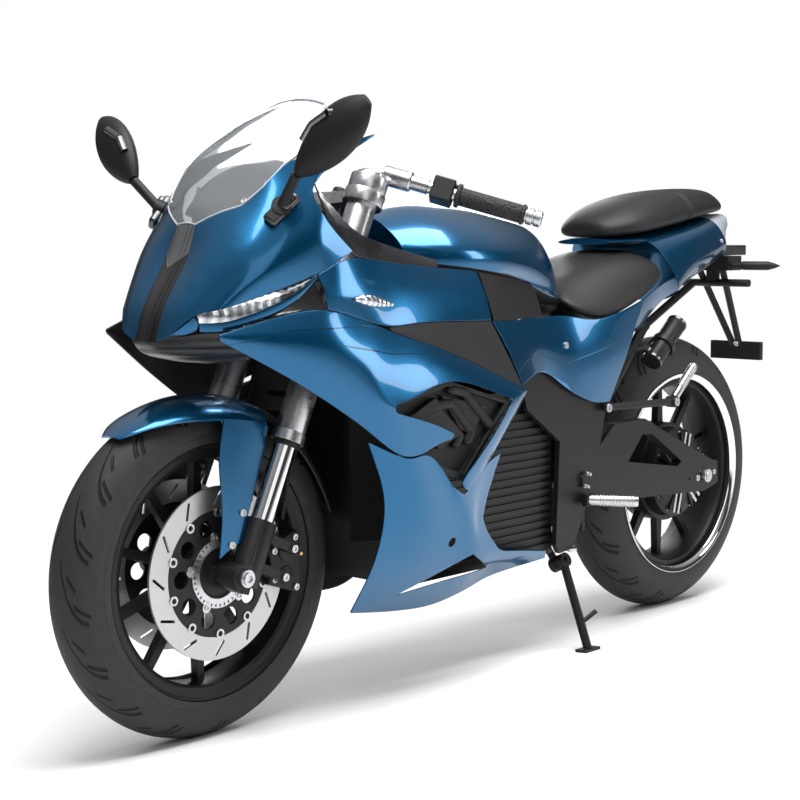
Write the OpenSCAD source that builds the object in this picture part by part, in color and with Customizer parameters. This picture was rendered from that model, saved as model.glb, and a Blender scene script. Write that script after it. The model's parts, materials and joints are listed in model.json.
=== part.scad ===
// Electric sport motorcycle parked on its side stand.
// Everything is drawn upright (x forward from the rear axle, y left, z up from the ground)
// and then leaned over onto the stand by parked().

/* [Stance] */
// Distance between the wheel axles
wheelbase = 1400; // [1360:5:1440]
// Angle of the steering axis from vertical
rake = 25; // [24:0.5:26]
// Lean to the left when parked
lean = 5; // [4:0.5:6]

/* [Wheels] */
// Height of the front tyre above the rim's edge
front_tyre_h = 61; // [54:1:64]
// Width of the front tyre
front_tyre_w = 110; // [96:1:114]
// Height of the rear tyre above the rim's edge
rear_tyre_h = 82; // [75:1:88]
// Width of the rear tyre
rear_tyre_w = 140; // [124:1:146]
// Radius of the rims at the edge of their flanges
rim_r = 232; // [226:1:236]
// Outer radius of the front brake discs
disc_r = 150; // [140:1:156]
// Thickness of the brake discs
disc_t = 4.5; // [3:0.5:6]
// Spokes in the front rim
front_spokes = 10; // [6:1:12]
// Spokes in the rear rim
rear_spokes = 10; // [6:1:12]
// Radius of the hub motor drum
motor_r = 122; // [105:1:130]

/* [Fork and bars] */
// Distance of each fork leg from the middle
leg_y = 100; // [96:1:106]
// Radius of the upper fork tubes
fork_tube_r = 27; // [24:0.5:29]
// Radius of the sliding fork legs
leg_r = 20.5; // [18:0.5:22]
// Radius of the wheel axles
axle_r = 9; // [7:0.5:11]
// Radius of the steering stem
stem_r = 16; // [13:0.5:18]
// Radius of the handlebar tubes
bar_r = 11; // [9:0.5:12]
// Radius of the grips
grip_r = 16.5; // [14:0.5:18]

/* [Body] */
// Thickness of the fairing panels
panel_t = 3; // [2:0.5:4]
// Half width of the battery case
battery_half_w = 130; // [120:1:133]
// Ribs down each side of the battery case
battery_ribs = 20; // [12:1:24]
// Thickness of the frame plates beside the swingarm pivot
plate_t = 12; // [8:1:14]
// Half length of the gap between the frame plates
plate_y = 138; // [136:1:140]

/* [Stand] */
// Radius of the side stand's leg
stand_r = 9; // [7:0.5:11]

/* [Hidden] */
$fn = 48;

// Clearances: running fits, seats between pieces and panel gaps
run_fit = 0.05;
seat_gap = 0.3;
edge_gap = 0.4;
// Wheelbase and wheel that the body tables are drawn for, and the zone that stretches with the wheelbase
drawn_wheelbase = 1400;
drawn_wheel_r = 293;
stretch_from = 560;
stretch_to = 1000;

front_tyre_r = rim_r + front_tyre_h;
rear_tyre_r = rim_r + rear_tyre_h;
// Height that the body gains from larger front wheels
ride = front_tyre_r - drawn_wheel_r;
front_axle_at = [wheelbase, 0, front_tyre_r];
rear_axle_at = [0, 0, rear_tyre_r];
// Fork: legs behind the axle, stem behind the legs, measured square to the steering axis
leg_x = -22;
stem_x = -52;

// Points and curves
function lerp(a, b, t) = a + (b - a) * t;
function clamp(v, low, high) = max(low, min(high, v));
function unit(v) = v / norm(v);
// Body tables follow the wheelbase: the front half moves with the front axle
function stretched(p) =
    [p[0] + (wheelbase - drawn_wheelbase) * clamp((p[0] - stretch_from) / (stretch_to - stretch_from), 0, 1),
     p[1], p[2]];
function along(x) = stretched([x, 0, 0])[0];
function along_x(outline) = [for (p = outline) [along(p[0]), p[1]]];
// Smooth curve through the points p, with t from 0 to len(p) - 1
function through(p, t) =
    let (n = len(p) - 1, i = clamp(floor(t), 0, n - 1), u = t - i, b = p[i], c = p[i + 1],
         a = i > 0 ? p[i - 1] : 2 * b - c, d = i < n - 1 ? p[i + 2] : 2 * c - b)
    b + 0.5 * u * ((c - a) + u * ((2 * a - 5 * b + 4 * c - d) + u * (3 * (b - c) + d - a)));
function smooth(p, count) = [for (k = [0:count]) through(p, k * (len(p) - 1) / count)];
// Grid of points over a surface given by its sections, nu steps along and nv steps down
function grid_over(sections, nu, nv) =
    let (rows = [for (s = sections) smooth([for (p = s) stretched(p)], nv)],
         lines = [for (j = [0:nv]) smooth([for (r = rows) r[j]], nu)])
    [for (i = [0:nu]) [for (j = [0:nv]) lines[j][i]]];
// Direction from a point of the skin towards the middle of the machine
core_x = [150, wheelbase - 100];
core_z = [420, 740];
function inward(p) =
    unit([clamp(p[0], core_x[0], core_x[1]) - p[0], -p[1], clamp(p[2], core_z[0], core_z[1]) - p[2]]);
function normal_at(g, i, j) =
    let (n = len(g) - 1, m = len(g[0]) - 1,
         du = g[min(i + 1, n)][j] - g[max(i - 1, 0)][j], dv = g[i][min(j + 1, m)] - g[i][max(j - 1, 0)],
         c = cross(du, dv))
    norm(c) > 0 ? unit(c) : inward(g[i][j]);
// The wall is measured square to the skin, and runs along inward() so that edges of neighbours stay apart
function inner_point(g, i, j, wall) =
    let (d = inward(g[i][j]), slope = abs(d * normal_at(g, i, j)))
    g[i][j] + d * wall / clamp(slope, 0.4, 1);
function flat(g) = [for (r = g) for (p = r) p];
function is_open(i, j, holes) =
    len([for (h = holes) if (i >= h[0] && i < h[1] && j >= h[2] && j < h[3]) 1]) > 0;

// Sheet between two grids of points. holes holds [from, to, from, to] cell ranges left open
module sheet(outer, inner, holes = []) {
    n = len(outer) - 1;
    m = len(outer[0]) - 1;
    side = (n + 1) * (m + 1);
    function at(i, j) = i * (m + 1) + j;
    function has(i, j) = i >= 0 && i < n && j >= 0 && j < m && !is_open(i, j, holes);
    function rim(a, b) = [[a, a + side, b + side], [a, b + side, b]];
    faces = [for (i = [0:n - 1]) for (j = [0:m - 1]) if (has(i, j))
        let (a = at(i, j), b = at(i + 1, j), c = at(i + 1, j + 1), d = at(i, j + 1))
        each concat([[a, b, c], [a, c, d], [c + side, b + side, a + side], [d + side, c + side, a + side]],
            has(i, j - 1) ? [] : rim(a, b), has(i + 1, j) ? [] : rim(b, c),
            has(i, j + 1) ? [] : rim(c, d), has(i - 1, j) ? [] : rim(d, a))];
    polyhedron(concat(flat(outer), flat(inner)), faces, convexity = 6);
}
// Sheet of even thickness over a grid
module panel(grid, wall, holes = []) {
    n = len(grid) - 1;
    m = len(grid[0]) - 1;
    sheet(grid, [for (i = [0:n]) [for (j = [0:m]) inner_point(grid, i, j, wall)]], holes);
}

// Closed ring of points from half a section, from the top middle round the left side to the bottom middle.
// at holds its x, its bow (the sides forward of the middle by that much at 100 mm out) and its tilt, the step
// forward for each step up from ring_level
ring_level = 800;
function full_ring(at, half, count) =
    let (n = len(half) - 1,
         ext = concat([[-half[1][0], half[1][1]]], half, [[-half[n - 1][0], half[n - 1][1]]]),
         left = [for (k = [0:count]) through(ext, 1 + k * n / count)])
    [for (p = concat(left, [for (k = [count - 1:-1:1]) [-left[k][0], left[k][1]]]))
        [at[0] + at[1] * pow(p[0] / 100, 2) + at[2] * (p[1] - ring_level), p[0], p[1]]];
// Solid through rings of equal length, closed at both ends
module skin(rings) {
    n = len(rings) - 1;
    m = len(rings[0]);
    mid = [for (r = [rings[0], rings[n]]) [for (a = [0:2]) [for (p = r) p[a]] * [for (k = [1:m]) 1 / m]]];
    function at(i, j) = i * m + j % m;
    faces = concat(
        [for (i = [0:n - 1]) for (j = [0:m - 1])
            each [[at(i, j), at(i + 1, j), at(i + 1, j + 1)], [at(i, j), at(i + 1, j + 1), at(i, j + 1)]]],
        [for (j = [0:m - 1]) [(n + 1) * m, at(0, j), at(0, j + 1)]],
        [for (j = [0:m - 1]) [(n + 1) * m + 1, at(n, j + 1), at(n, j)]]);
    polyhedron(concat(flat(rings), mid), faces, convexity = 4);
}
// Solid body from stations [x, half section, bow, tilt], along the machine from front to rear
module body_loft(stations, nu, nv) {
    xs = smooth([for (s = stations) [along(s[0]), len(s) > 2 ? s[2] : 0, len(s) > 3 ? s[3] : 0]], nu);
    halves = [for (k = [0:len(stations[0][1]) - 1]) smooth([for (s = stations) s[1][k]], nu)];
    skin([for (i = [0:nu]) full_ring(xs[i], [for (h = halves) h[i]], nv)]);
}
// Stretch of an edge line, shifted, and the sections of a panel between two edges
function slice(line, from, to, count, shift = [0, 0, 0]) =
    [for (k = [0:count]) through(line, lerp(from, to, k / count)) + shift];
function between(top, bottom, bulge) =
    [for (k = [0:len(top) - 1]) [top[k], (top[k] + bottom[k]) / 2 + [0, bulge, 0], bottom[k]]];
function pick(line, places, shift = [0, 0, 0]) = [for (t = places) through(line, t) + shift];
function outward_at(g, i, j) = let (n = normal_at(g, i, j)) n * inward(g[i][j]) > 0 ? -n : n;
above = [0, 0, edge_gap];
below = [0, 0, -edge_gap];

// Frames and simple shapes
// Upright drawing to the parked machine, its origin under the middle of its box
yoke_low = [535, 565];
yoke_top = [700, 724];
rear_end_x = -352;
mirror_tip = [1320, 345, 1078];
bar_rise = 46;
bar_root = [-38, 108, yoke_top[1] + bar_rise];
bar_end = [-219, 348, bar_root[2] - 9];
origin_x = (wheelbase + front_tyre_r + rear_end_x) / 2;
origin_y = (mirror_tip[1] - bar_end[1]) / 2 * cos(lean) + (mirror_tip[2] + 890) / 2 * sin(lean);
tyre_rise = front_tyre_w / 2 * (1 - cos(lean));
module parked() {
    translate([-origin_x, -origin_y, tyre_rise]) rotate([-lean, 0, 0]) children();
}
// Point on the floor, back in the upright drawing
function from_floor(x, y) = [x, y * cos(lean) + tyre_rise * sin(lean), y * sin(lean) - tyre_rise * cos(lean)];
// Body and frame, carried at the height that the wheels give them
module riding() {
    parked() translate([0, 0, ride]) children();
}
module fork_frame() {
    translate(front_axle_at) rotate([0, -rake, 0]) children();
}
// The fork's frame as the body sees it
module head_frame() {
    translate([0, 0, -ride]) fork_frame() children();
}
module both() {
    children();
    mirror([0, 1, 0]) children();
}
// Round bar between two points
module rod(a, b, r) {
    d = b - a;
    translate(a) rotate([0, acos(d[2] / norm(d)), atan2(d[1], d[0])]) cylinder(h = norm(d), r = r);
}
module bar_frame(a, b) {
    d = b - a;
    translate(a) rotate([0, acos(d[2] / norm(d)), atan2(d[1], d[0])]) children();
}
// Round bar across the machine at [x, z]
module cross_bar(at, from_y, to_y, r) {
    translate([at[0], from_y, at[1]]) rotate([-90, 0, 0]) cylinder(h = to_y - from_y, r = r);
}
// Plate across the machine, its outline given in x and z
module side_plate(outline, from_y, to_y) {
    translate([0, to_y, 0]) rotate([90, 0, 0]) linear_extrude(to_y - from_y) polygon(outline);
}
module wheel_at(axle) {
    translate(axle) rotate([90, 0, 0]) children();
}

// Chassis
pivot_at = [487, 360];
pivot_r = 12;
plate_outline = [[640, 606], [700, 606], [672, 520], [566, 447], [578, 236], [566, 217], [520, 222],
    [462, 330], [436, 400], [405, 520], [470, 534], [548, 566]];
spar_outline = [[690, 560], [700, 640], [1000, 782], [1040, 760], [1040, 690], [980, 690], [760, 560]];
shoulder_outline = [[690, 560], [700, 604], [730, 618], [760, 560]];
spar_y = [96, 120];
bridge_w = 24;
bridge_z = [700, 786];
head_low = 578;
head_high = 690;
head_r = 30;
tie_at = [536, 240];
stand_splay = 28;
stand_pivot = [520, 124, 192];
stand_axis = [0, cos(stand_splay), sin(stand_splay)];
stand_pin_r = 6;
knuckle_half = stand_r + 1;
lug_t = 18;
module stand_frame() {
    translate(stand_pivot) rotate([stand_splay - 90, 0, 0]) children();
}
module main_frame() color("dimgray") riding() {
    both() {
        side_plate(along_x(plate_outline), plate_y, plate_y + plate_t);
        side_plate(along_x(spar_outline), spar_y[0], spar_y[1]);
        // Shoulder that carries the spar out to the plate
        side_plate(along_x(shoulder_outline), spar_y[1] - 1, plate_y + 1);
    }
    difference() {
        union() {
            head_frame() translate([stem_x, 0, head_low]) cylinder(h = head_high - head_low, r = head_r);
            side_plate([[wheelbase - 398, 700], [wheelbase - 398, 782], [wheelbase - 345, 860],
                [wheelbase - 318, 815], [wheelbase - 345, 700]], -26, 26);
            side_plate([[wheelbase - 400, 700], [wheelbase - 400, 770], [wheelbase - 365, 745],
                [wheelbase - 365, 700]], -spar_y[1], spar_y[1]);
        }
        head_frame() translate([stem_x, 0, head_low - 40])
            cylinder(h = head_high - head_low + 80, r = stem_r + run_fit);
    }
    // Bridge that the tank rests on
    bridge_x = along(900);
    both() translate([bridge_x - bridge_w / 2, spar_y[0], bridge_z[0]])
        cube([bridge_w, spar_y[1] - spar_y[0], bridge_z[1] - bridge_z[0]]);
    cross_bar([bridge_x, bridge_z[1] - 8.7], -spar_y[0] - 2, spar_y[0] + 2, 11);
    // Cross tubes: swingarm pivot shaft, upper and lower ties
    cross_bar(pivot_at, -plate_y - plate_t - 8, plate_y + plate_t + 8, pivot_r);
    cross_bar([540, 480], -plate_y - 2, plate_y + 2, 16);
    cross_bar(tie_at, -plate_y - 2, plate_y + 2, 12);
    // Lug and pin of the side stand, hung from the lower tie
    stand_frame() {
        translate([0, 0, -knuckle_half - seat_gap - lug_t]) cylinder(h = lug_t, r = 16);
        translate([0, 0, -knuckle_half - 8]) cylinder(h = 2 * knuckle_half + 14, r = stand_pin_r);
    }
    rod(stand_pivot - stand_axis * (knuckle_half + seat_gap + lug_t / 2),
        [tie_at[0] - 2, 78, tie_at[1] - 2], 8);
}
// Rear frame: the tube behind the side cover, the seat rail and the passenger peg arm
rail_front = stretched([690, 108, 634]);
rail_knee = [200, 100, 664];
rail_rear = [-60, 52, 748];
arm_front = [425, plate_y + plate_t + 8.5, 505];
arm_rear = [188, 166, 500];
seat_post = [300, 92, 706.4];
reservoir = [[222, 134, 588], [116, 130, 668]];
reservoir_r = 22;
clamp_at = 52;
module subframe() color([0.09, 0.09, 0.1]) riding() both() {
    rod([428, plate_y - 11.5, 466], rail_knee, 11);
    rod(rail_front, rail_knee, 9);
    rod(rail_knee, rail_rear, 9);
    translate(rail_knee) sphere(r = 12.5);
    rod(arm_front, arm_rear, 8);
    cross_bar([arm_rear[0], arm_rear[2]], arm_rear[1] - 11, arm_rear[1] + 11, 12);
    translate([seat_post[0], seat_post[1], 650]) cylinder(h = seat_post[2] - 650, r = 10);
    // Clamp round the shock's reservoir
    difference() {
        union() {
            bar_frame(reservoir[0], reservoir[1]) translate([0, 0, clamp_at])
                cylinder(h = 14, r = reservoir_r + 5);
            rod([262, 108, 610], lerp(reservoir[0], reservoir[1], 0.44), 7);
        }
        bar_frame(reservoir[0], reservoir[1]) cylinder(h = 200, r = reservoir_r + seat_gap);
    }
}
battery_low = 215;
battery_high = 556;
battery_front = 1006;
battery_rear = 560;
rib_depth = 5;
module battery_case() color([0.07, 0.07, 0.08]) riding() {
    front = along(battery_front);
    translate([battery_rear, -battery_half_w + rib_depth, battery_low])
        cube([front - battery_rear, 2 * (battery_half_w - rib_depth), battery_high - battery_low]);
    pitch = (battery_high - battery_low - 20) / battery_ribs;
    for (k = [0:battery_ribs - 1])
        translate([battery_rear + 12, -battery_half_w, battery_low + 14 + k * pitch])
            cube([front - battery_rear - 24, 2 * battery_half_w, pitch * 0.55]);
    // Bosses bolted between the frame plates
    cross_bar([along(625), 520], -plate_y + seat_gap, plate_y - seat_gap, 12);
}
arm_y = [104, 130];
rear_hub_at = [0, rear_tyre_r - ride];
bobbin_at = [60, 312];
bobbin_r = 3.4;
bobbin_depth = 18;
arm_outline = [[512, 330], [512, 390], [430, 400], [350, 462], [236, 464], [120, 412], [-30, 348], [-56, 342],
    [-58, 292], [0, 278], [254, 292], [420, 318]];
arm_window = [[300, 376], [246, 430], [208, 428], [92, 356], [110, 346]];
module swingarm() color([0.08, 0.08, 0.085]) riding() {
    difference() {
        union() {
            both() side_plate(arm_outline, arm_y[0], arm_y[1]);
            side_plate([[350, 312], [350, 446], [420, 396], [430, 330]], -arm_y[1] + 2, arm_y[1] - 2);
            cross_bar(pivot_at, -plate_y + 1, plate_y - 1, 26);
        }
        both() side_plate(arm_window, arm_y[0] - 4, arm_y[1] + 4);
        // Threaded holes for the bobbins of a workshop stand
        both() cross_bar(bobbin_at, arm_y[1] - bobbin_depth, arm_y[1] + 1, bobbin_r);
        cross_bar(pivot_at, -200, 200, pivot_r + run_fit);
        cross_bar(rear_hub_at, -200, 200, axle_r + run_fit);
    }
}
module rear_axle() color("silver") riding() {
    cross_bar(rear_hub_at, -arm_y[1] - 14, arm_y[1] + 14, axle_r);
    both() cross_bar(rear_hub_at, arm_y[1] + 0.2, arm_y[1] + 12, 15);
}
// Bracket ahead of the steering head that carries the nose, the dials and the mirrors
stay_z = [813, 838];
stay_front = wheelbase - 110;
stay_half_w = 181.5;
dial_post_top = 906.2;
module fairing_stay() color([0.1, 0.1, 0.11]) riding() difference() {
    union() {
        translate([wheelbase - 312, -20, stay_z[0]]) cube([312 - 110, 40, stay_z[1] - stay_z[0]]);
        translate([stay_front, -stay_half_w, stay_z[0]]) cube([14, 2 * stay_half_w, stay_z[1] - stay_z[0]]);
        translate([stay_front, -18, stay_z[0]]) cube([14, 36, dial_post_top - stay_z[0]]);
    }
    head_frame() translate([stem_x, 0, head_low - 60]) cylinder(h = 200, r = head_r + seat_gap);
}

// Fairings, given as sections from the top edge down. Left side; the right side mirrors it
// Upper cowl: sections from the middle of the nose out and back to the cockpit
cowl_sections = [
    [[1408, 24, 884], [1432, 29, 826], [1479, 28, 752], [1501, 27, 692]],
    [[1392, 62, 902], [1431, 76, 832], [1474, 74, 757], [1496, 64, 706]],
    [[1360, 104, 921], [1405, 124, 842], [1446, 108, 776], [1472, 95, 736]],
    [[1302, 131, 983], [1345, 160, 876], [1390, 161, 802], [1424, 140, 752]],
    [[1236, 148, 1008], [1285, 170, 925], [1298, 190, 858], [1288, 189, 799]],
    [[1112, 160, 1041], [1258, 160, 962], [1262, 186, 896], [1199, 190, 838]]];
cowl_low = [for (s = cowl_sections) s[3]];
cowl_grid = grid_over(cowl_sections, 15, 9);
// Headlamp between the cowl's lower edge and a sill
sill_top = [[1466, 98, 722], [1430, 142, 727], [1342, 186, 764], [1288, 190, 798]];
sill_low = [[1464, 97, 709], [1430, 141, 712], [1342, 185, 750], [1284, 191, 795]];
module upper_cowl() color([0.05, 0.3, 0.55]) riding() both() {
    panel(cowl_grid, panel_t);
    panel(grid_over(between(slice(sill_top, 0, 3, 6, below), slice(sill_low, 0, 3, 6), 1), 6, 2), panel_t);
}
// Black centre of the nose between the halves of the cowl, bulging forward row by row
insert_bulge = [4, 8, 12, 14];
module nose_insert() color([0.05, 0.05, 0.055]) riding()
    panel(grid_over([for (s = [-1, -0.5, 0, 0.5, 1]) [for (k = [0:3]) let (c = cowl_sections[0][k])
        [c[0] + insert_bulge[k] * (1 - s * s), s * (c[1] - edge_gap), c[2]]]], 8, 9), panel_t);
module headlamps() color([0.85, 0.87, 0.9]) riding() both()
    panel(grid_over(between(slice(cowl_low, 2.05, 4.02, 6, 2 * below),
        slice(sill_top, 0, 3, 6, 2 * above), 2), 12, 4), 4);
filler_in = [-2, -3.4, 0];
// Black duct under the nose, seen from the front and from below
duct_sections = [
    [[1506, 0, 691.4], [1482, 0, 668], [1400, 0, 650]],
    [[1500, 27, 691.4], [1478, 40, 668], [1398, 50, 650]],
    [[1463, 96, 706.4], [1436, 108, 682], [1385, 116, 660]],
    [[1432, 140, 706.4], [1405, 150, 690], [1360, 158, 676]]];
module chin_duct() color([0.04, 0.04, 0.045]) riding()
    panel(grid_over(concat([for (k = [3:-1:1]) [for (p = duct_sections[k]) [p[0], -p[1], p[2]]]],
        duct_sections), 12, 6), panel_t);
// Rows up the screen: [x, half width, z, rise of the middle]
screen_rows = [[1407.4, 23, 884.5, 3], [1391.4, 60.8, 902.8, 18], [1359.4, 102.8, 921.8, 32],
    [1301.2, 129.4, 983.8, 42], [1262, 131, 1008, 44], [1212, 112, 1046, 36], [1146, 72, 1096, 12]];
module windscreen() color([0.8, 0.85, 0.9, 0.4]) riding()
    panel(grid_over([for (s = [1, 0.6, 0, -0.6, -1])
        [for (r = screen_rows) [r[0], s * r[1], r[2] + r[3] * (1 - s * s)]]], 10, 10), panel_t);
module instrument_panel() color([0.06, 0.06, 0.07]) riding()
    body_loft([[1345, [[0, 930], [60, 920], [75, 900], [0, 890]]],
        [1290, [[0, 984], [80, 962], [96, 930], [0, 912]]],
        [1215, [[0, 1002], [84, 978], [98, 948], [0, 935]]]], 6, 8);
mirror_neck = [1349, 214, 966];
mirror_seat = cowl_grid[9][2];
mirror_out = outward_at(cowl_grid, 9, 2);
module mirrors() color([0.1, 0.1, 0.11]) riding() both() {
    axis = mirror_tip - mirror_neck;
    rod(mirror_seat + mirror_out * 8, mirror_neck - unit(axis) * 3, 9);
    rod(mirror_seat + mirror_out * edge_gap, mirror_seat + mirror_out * 16, 17);
    // Housing: [place along the axis, half width, half depth]
    table = [[0, 10, 9], [0.12, 26, 17], [0.35, 42, 26], [0.6, 48, 27], [0.85, 36, 20], [1, 12, 6]];
    out = unit(axis);
    wide = unit(cross([1, 0, 0], out));
    deep = unit(cross(out, wide));
    skin([for (t = table) [for (k = [0:15])
        mirror_neck + axis * t[0] + wide * t[1] * cos(k * 22.5) + deep * t[2] * sin(k * 22.5)]]);
}

// Side fairing: columns from the front tip back, rows from the top edge down, the vent in rows 2 to 4
side_sections = [
    [[1466, 150, 706], [1467, 151, 704], [1467, 151, 702],
        [1467, 151, 700], [1466, 150, 698], [1465, 149, 696]],
    [[1312, 200, 742], [1318, 210, 714], [1325, 214, 692],
        [1330, 213, 668], [1334, 208, 645], [1337, 200, 620]],
    [[1200, 207, 722], [1206, 222, 682], [1211, 229, 648],
        [1214, 231, 612], [1216, 228, 578], [1218, 221, 545]],
    [[1104, 210, 691], [1122, 228, 642], [1142, 238, 574],
        [1147, 239, 566], [1142, 238, 558], [1106, 230, 474]],
    [[980, 212, 655], [984, 224, 632], [990, 232, 606], [990, 236, 556], [988, 235, 508], [994, 233, 498]],
    [[800, 204, 592], [800, 214, 575], [802, 221, 556], [872, 229, 490], [948, 232, 430], [960, 230, 414]],
    [[742, 200, 571], [743, 203, 566], [746, 206, 560], [832, 216, 480], [917, 225, 412], [940, 226, 398]]];
module side_fairings() color([0.05, 0.3, 0.55]) riding() both()
    panel(grid_over(side_sections, 18, 10), panel_t, [[9, 15, 4, 8], [12, 15, 8, 10]]);
lower_sections = [
    [[1178, 203, 508], [1135, 202, 400], [1136, 178, 290], [1150, 128, 190]],
    [[1106, 229.8, 473.2], [1050, 218, 370], [1030, 180, 265], [1044, 122, 174]],
    [[1042, 230, 473], [962, 214, 350], [930, 182, 255], [935, 124, 167]],
    [[948, 224, 391], [905, 209, 325], [865, 184, 245], [850, 139, 185]],
    [[823, 207, 454], [868, 201, 335], [797, 183, 258], [785, 151, 206]],
    [[660, 178, 300], [640, 168, 265], [616, 154, 230], [612, 148, 214]]];
// Slot above the lower edge, and a round hole for a fastener
slot_outline = [[1046, 209], [887, 268], [823, 231]];
lower_hole = [955, 301];
lower_hole_r = 9;
module lower_fairings() color([0.05, 0.3, 0.55]) riding() both() difference() {
    panel(grid_over(lower_sections, 15, 9), panel_t, [[12, 15, 0, 6]]);
    side_plate(along_x(slot_outline), 90, 230);
    cross_bar([along(lower_hole[0]), lower_hole[1]], 90, 230, lower_hole_r);
}
// Section where the tank's tail meets the seat
seat_front = [[0, 772], [50, 766], [92, 746], [100, 728], [60, 716], [0, 716]];
tank_stations = [
    [1005, [[0, 902], [60, 894], [118, 852], [130, 815], [60, 800], [0, 800]]],
    [900, [[0, 926], [78, 914], [158, 856], [168, 804], [90, 790], [0, 790]]],
    [780, [[0, 926], [84, 910], [168, 842], [166, 789], [90, 774], [0, 774]]],
    [650, [[0, 906], [78, 890], [142, 824], [138, 770], [80, 738], [0, 738]]],
    [540, [[0, 886], [62, 866], [108, 800], [112, 742], [70, 722], [0, 722]]],
    [478, [[0, 846], [50, 826], [96, 774], [104, 734], [64, 718], [0, 718]], 40],
    [432, seat_front, 75]];
tank_low = [for (s = tank_stations) [s[0], s[1][3][0], s[1][3][1]]];
under_tank = [0, 0.6, -1.8];
// Edge lines along the side: the belt under the tank, and the waist that the seat and inserts meet
side_top = [for (s = side_sections) s[0]];
belt = concat(slice(cowl_low, 4.05, 4.55, 2, 3 * below), [[1196, 189, 827], [1090, 177, 817], [960, 172, 805],
    through(tank_low, 1.42) + [0, -1.5, 0]]);
waist = concat(slice(side_top, 1.3, 2.6, 4), [[1080, 207.5, 707.5], [1000, 205, 709], [826, 189, 703],
    [740, 175, 701], [624, 153, 702], [540, 148, 701], [449, 158.5, 689], [320, 161.5, 717], [220, 151, 751],
    [126.8, 132, 770.4]]);
mid_grid = grid_over(between(pick(belt, [0, 1, 2, 3, 3.8, 4.5, 5.2, 6]),
    pick(waist, [0, 1, 2, 3, 4.4, 5.4, 6.2, 6.98], 3 * above), 6), 14, 6);
module mid_panels() color([0.05, 0.28, 0.5]) riding() both()
    panel(mid_grid, panel_t);
// Black filler in the gap between the lamp's sill and the side fairing, its wall grown inwards and down
filler_grid = grid_over(between(slice(sill_low, 1.05, 2.9, 6, filler_in + below),
    slice(side_top, 0.5, 1.26, 6, filler_in + 2 * above), 0), 8, 3);
filler_wall = panel_t * unit([-0.3, -0.5, -0.8]);
module lamp_fillers() color([0.04, 0.04, 0.045]) riding() both()
    sheet(filler_grid, [for (r = filler_grid) [for (p = r) p + filler_wall]]);
// Black rail along the cockpit: upper line inside the cowl's rear edge, lower line on the panels' edge
rail_top = [[1238, 144, 946], [1205, 158, 905], [1175, 162, 880], [1140, 164, 862], [1085, 162, 848],
    [1020, 160, 833], [950, 160, 819]];
rail_low = concat([[1252, 153, 955], [1250, 177, 902], [1232, 182, 864], [1200, 184, 836]],
    pick(belt, [3.4, 4.2, 5], [0, -0.5, 0.6]));
module cockpit_rails() color([0.05, 0.05, 0.055]) riding() both()
    panel(grid_over(between(rail_top, rail_low, 1), 12, 4), panel_t);
module side_inserts() color([0.12, 0.12, 0.125]) riding() both()
    panel(grid_over(between(slice(waist, 4.3, 6.97, 6, below),
        slice(side_top, 2.8, 5.85, 6, above), 2), 12, 4), panel_t);
// Louvre behind the vent: a tray with two steps
vent_outline = [[1150, 570], [985, 604], [806, 552], [940, 414], [1062, 454]];
vent_inner = [[1128, 565], [985, 593], [824, 549], [942, 428], [1052, 466]];
vent_steps = [[[1090, 545], [1020, 575], [960, 500], [1010, 480]],
    [[1000, 578], [872, 548], [916, 498], [948, 512]]];
step_y = [220, 214];
tray_y = [200, 205, 218];
module vent_louvres() color([0.05, 0.05, 0.055]) riding() both() {
    difference() {
        side_plate(along_x(vent_outline), tray_y[0], tray_y[2]);
        side_plate(along_x(vent_inner), tray_y[1], tray_y[2] + 1);
    }
    for (k = [0, 1]) side_plate(along_x(vent_steps[k]), tray_y[1] - 1, step_y[k]);
}
module inner_panels() color([0.05, 0.05, 0.055]) riding() both()
    translate([wheelbase - 325, 0, 0]) rotate([90, 0, 90]) linear_extrude(5) difference() {
        polygon([[60, 300], [60, 640], [190, 640], [199.5, 600], [199.5, 470], [176, 320]]);
        for (z = [520, 560]) translate([110, z]) square([50, 12]);
    }
// Turn lamp along the mid panel: [step back along the panel, half height, half depth]
indicator_rings = [[4, 3, 3], [5, 9, 7], [6, 11, 8], [7, 8, 6], [8, 3, 3]];
module front_indicators() color([0.9, 0.9, 0.92]) riding() both() {
    out = outward_at(mid_grid, 6, 4);
    up = unit(cross(out, [1, 0, 0]));
    skin([for (t = indicator_rings) [for (k = [0:11])
        mid_grid[t[0]][4] + out * (edge_gap + t[2] + t[2] * cos(k * 30)) + up * t[1] * sin(k * 30)]]);
}

// Tank, seats and tail: stations from the front back, half sections from the top middle down
module tank_cover() color([0.05, 0.3, 0.55]) riding() body_loft(tank_stations, 18, 12);
knee_top = slice(tank_low, 1.46, 3.1, 4, under_tank);
module knee_pads() color([0.1, 0.1, 0.1]) riding() both()
    panel(grid_over(between(knee_top, slice(waist, 7.05, 8.95, 4, above), 2), 8, 4), panel_t);
cover_low = [[746, 199, 577], [640, 165, 595], [548, 161, 550], [470, 160, 521], [404, 155, 514]];
cover_end = 12.27;
module rear_side_covers() color([0.05, 0.3, 0.55]) riding() both()
    panel(grid_over(between(slice(waist, 7.02, cover_end, 10, below), slice(cover_low, 0, 4, 10), 5), 15, 6),
        panel_t);
seat_stations = [
    [432 - 2 * edge_gap, seat_front, 75],
    [398, [[0, 784], [84, 776], [145, 716], [148, 686], [70, 682], [0, 682]], 20],
    [320, [[0, 810], [96, 802], [153, 744], [152, 714], [80, 704], [0, 704]]],
    [228, [[0, 826], [92, 819], [146, 782], [143, 748], [80, 742], [0, 742]]],
    [174, [[0, 822], [66, 818], [124, 798], [126, 772], [60, 768], [0, 768]]]];
module rider_seat() color([0.08, 0.08, 0.08]) riding() body_loft(seat_stations, 8, 12);
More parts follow.
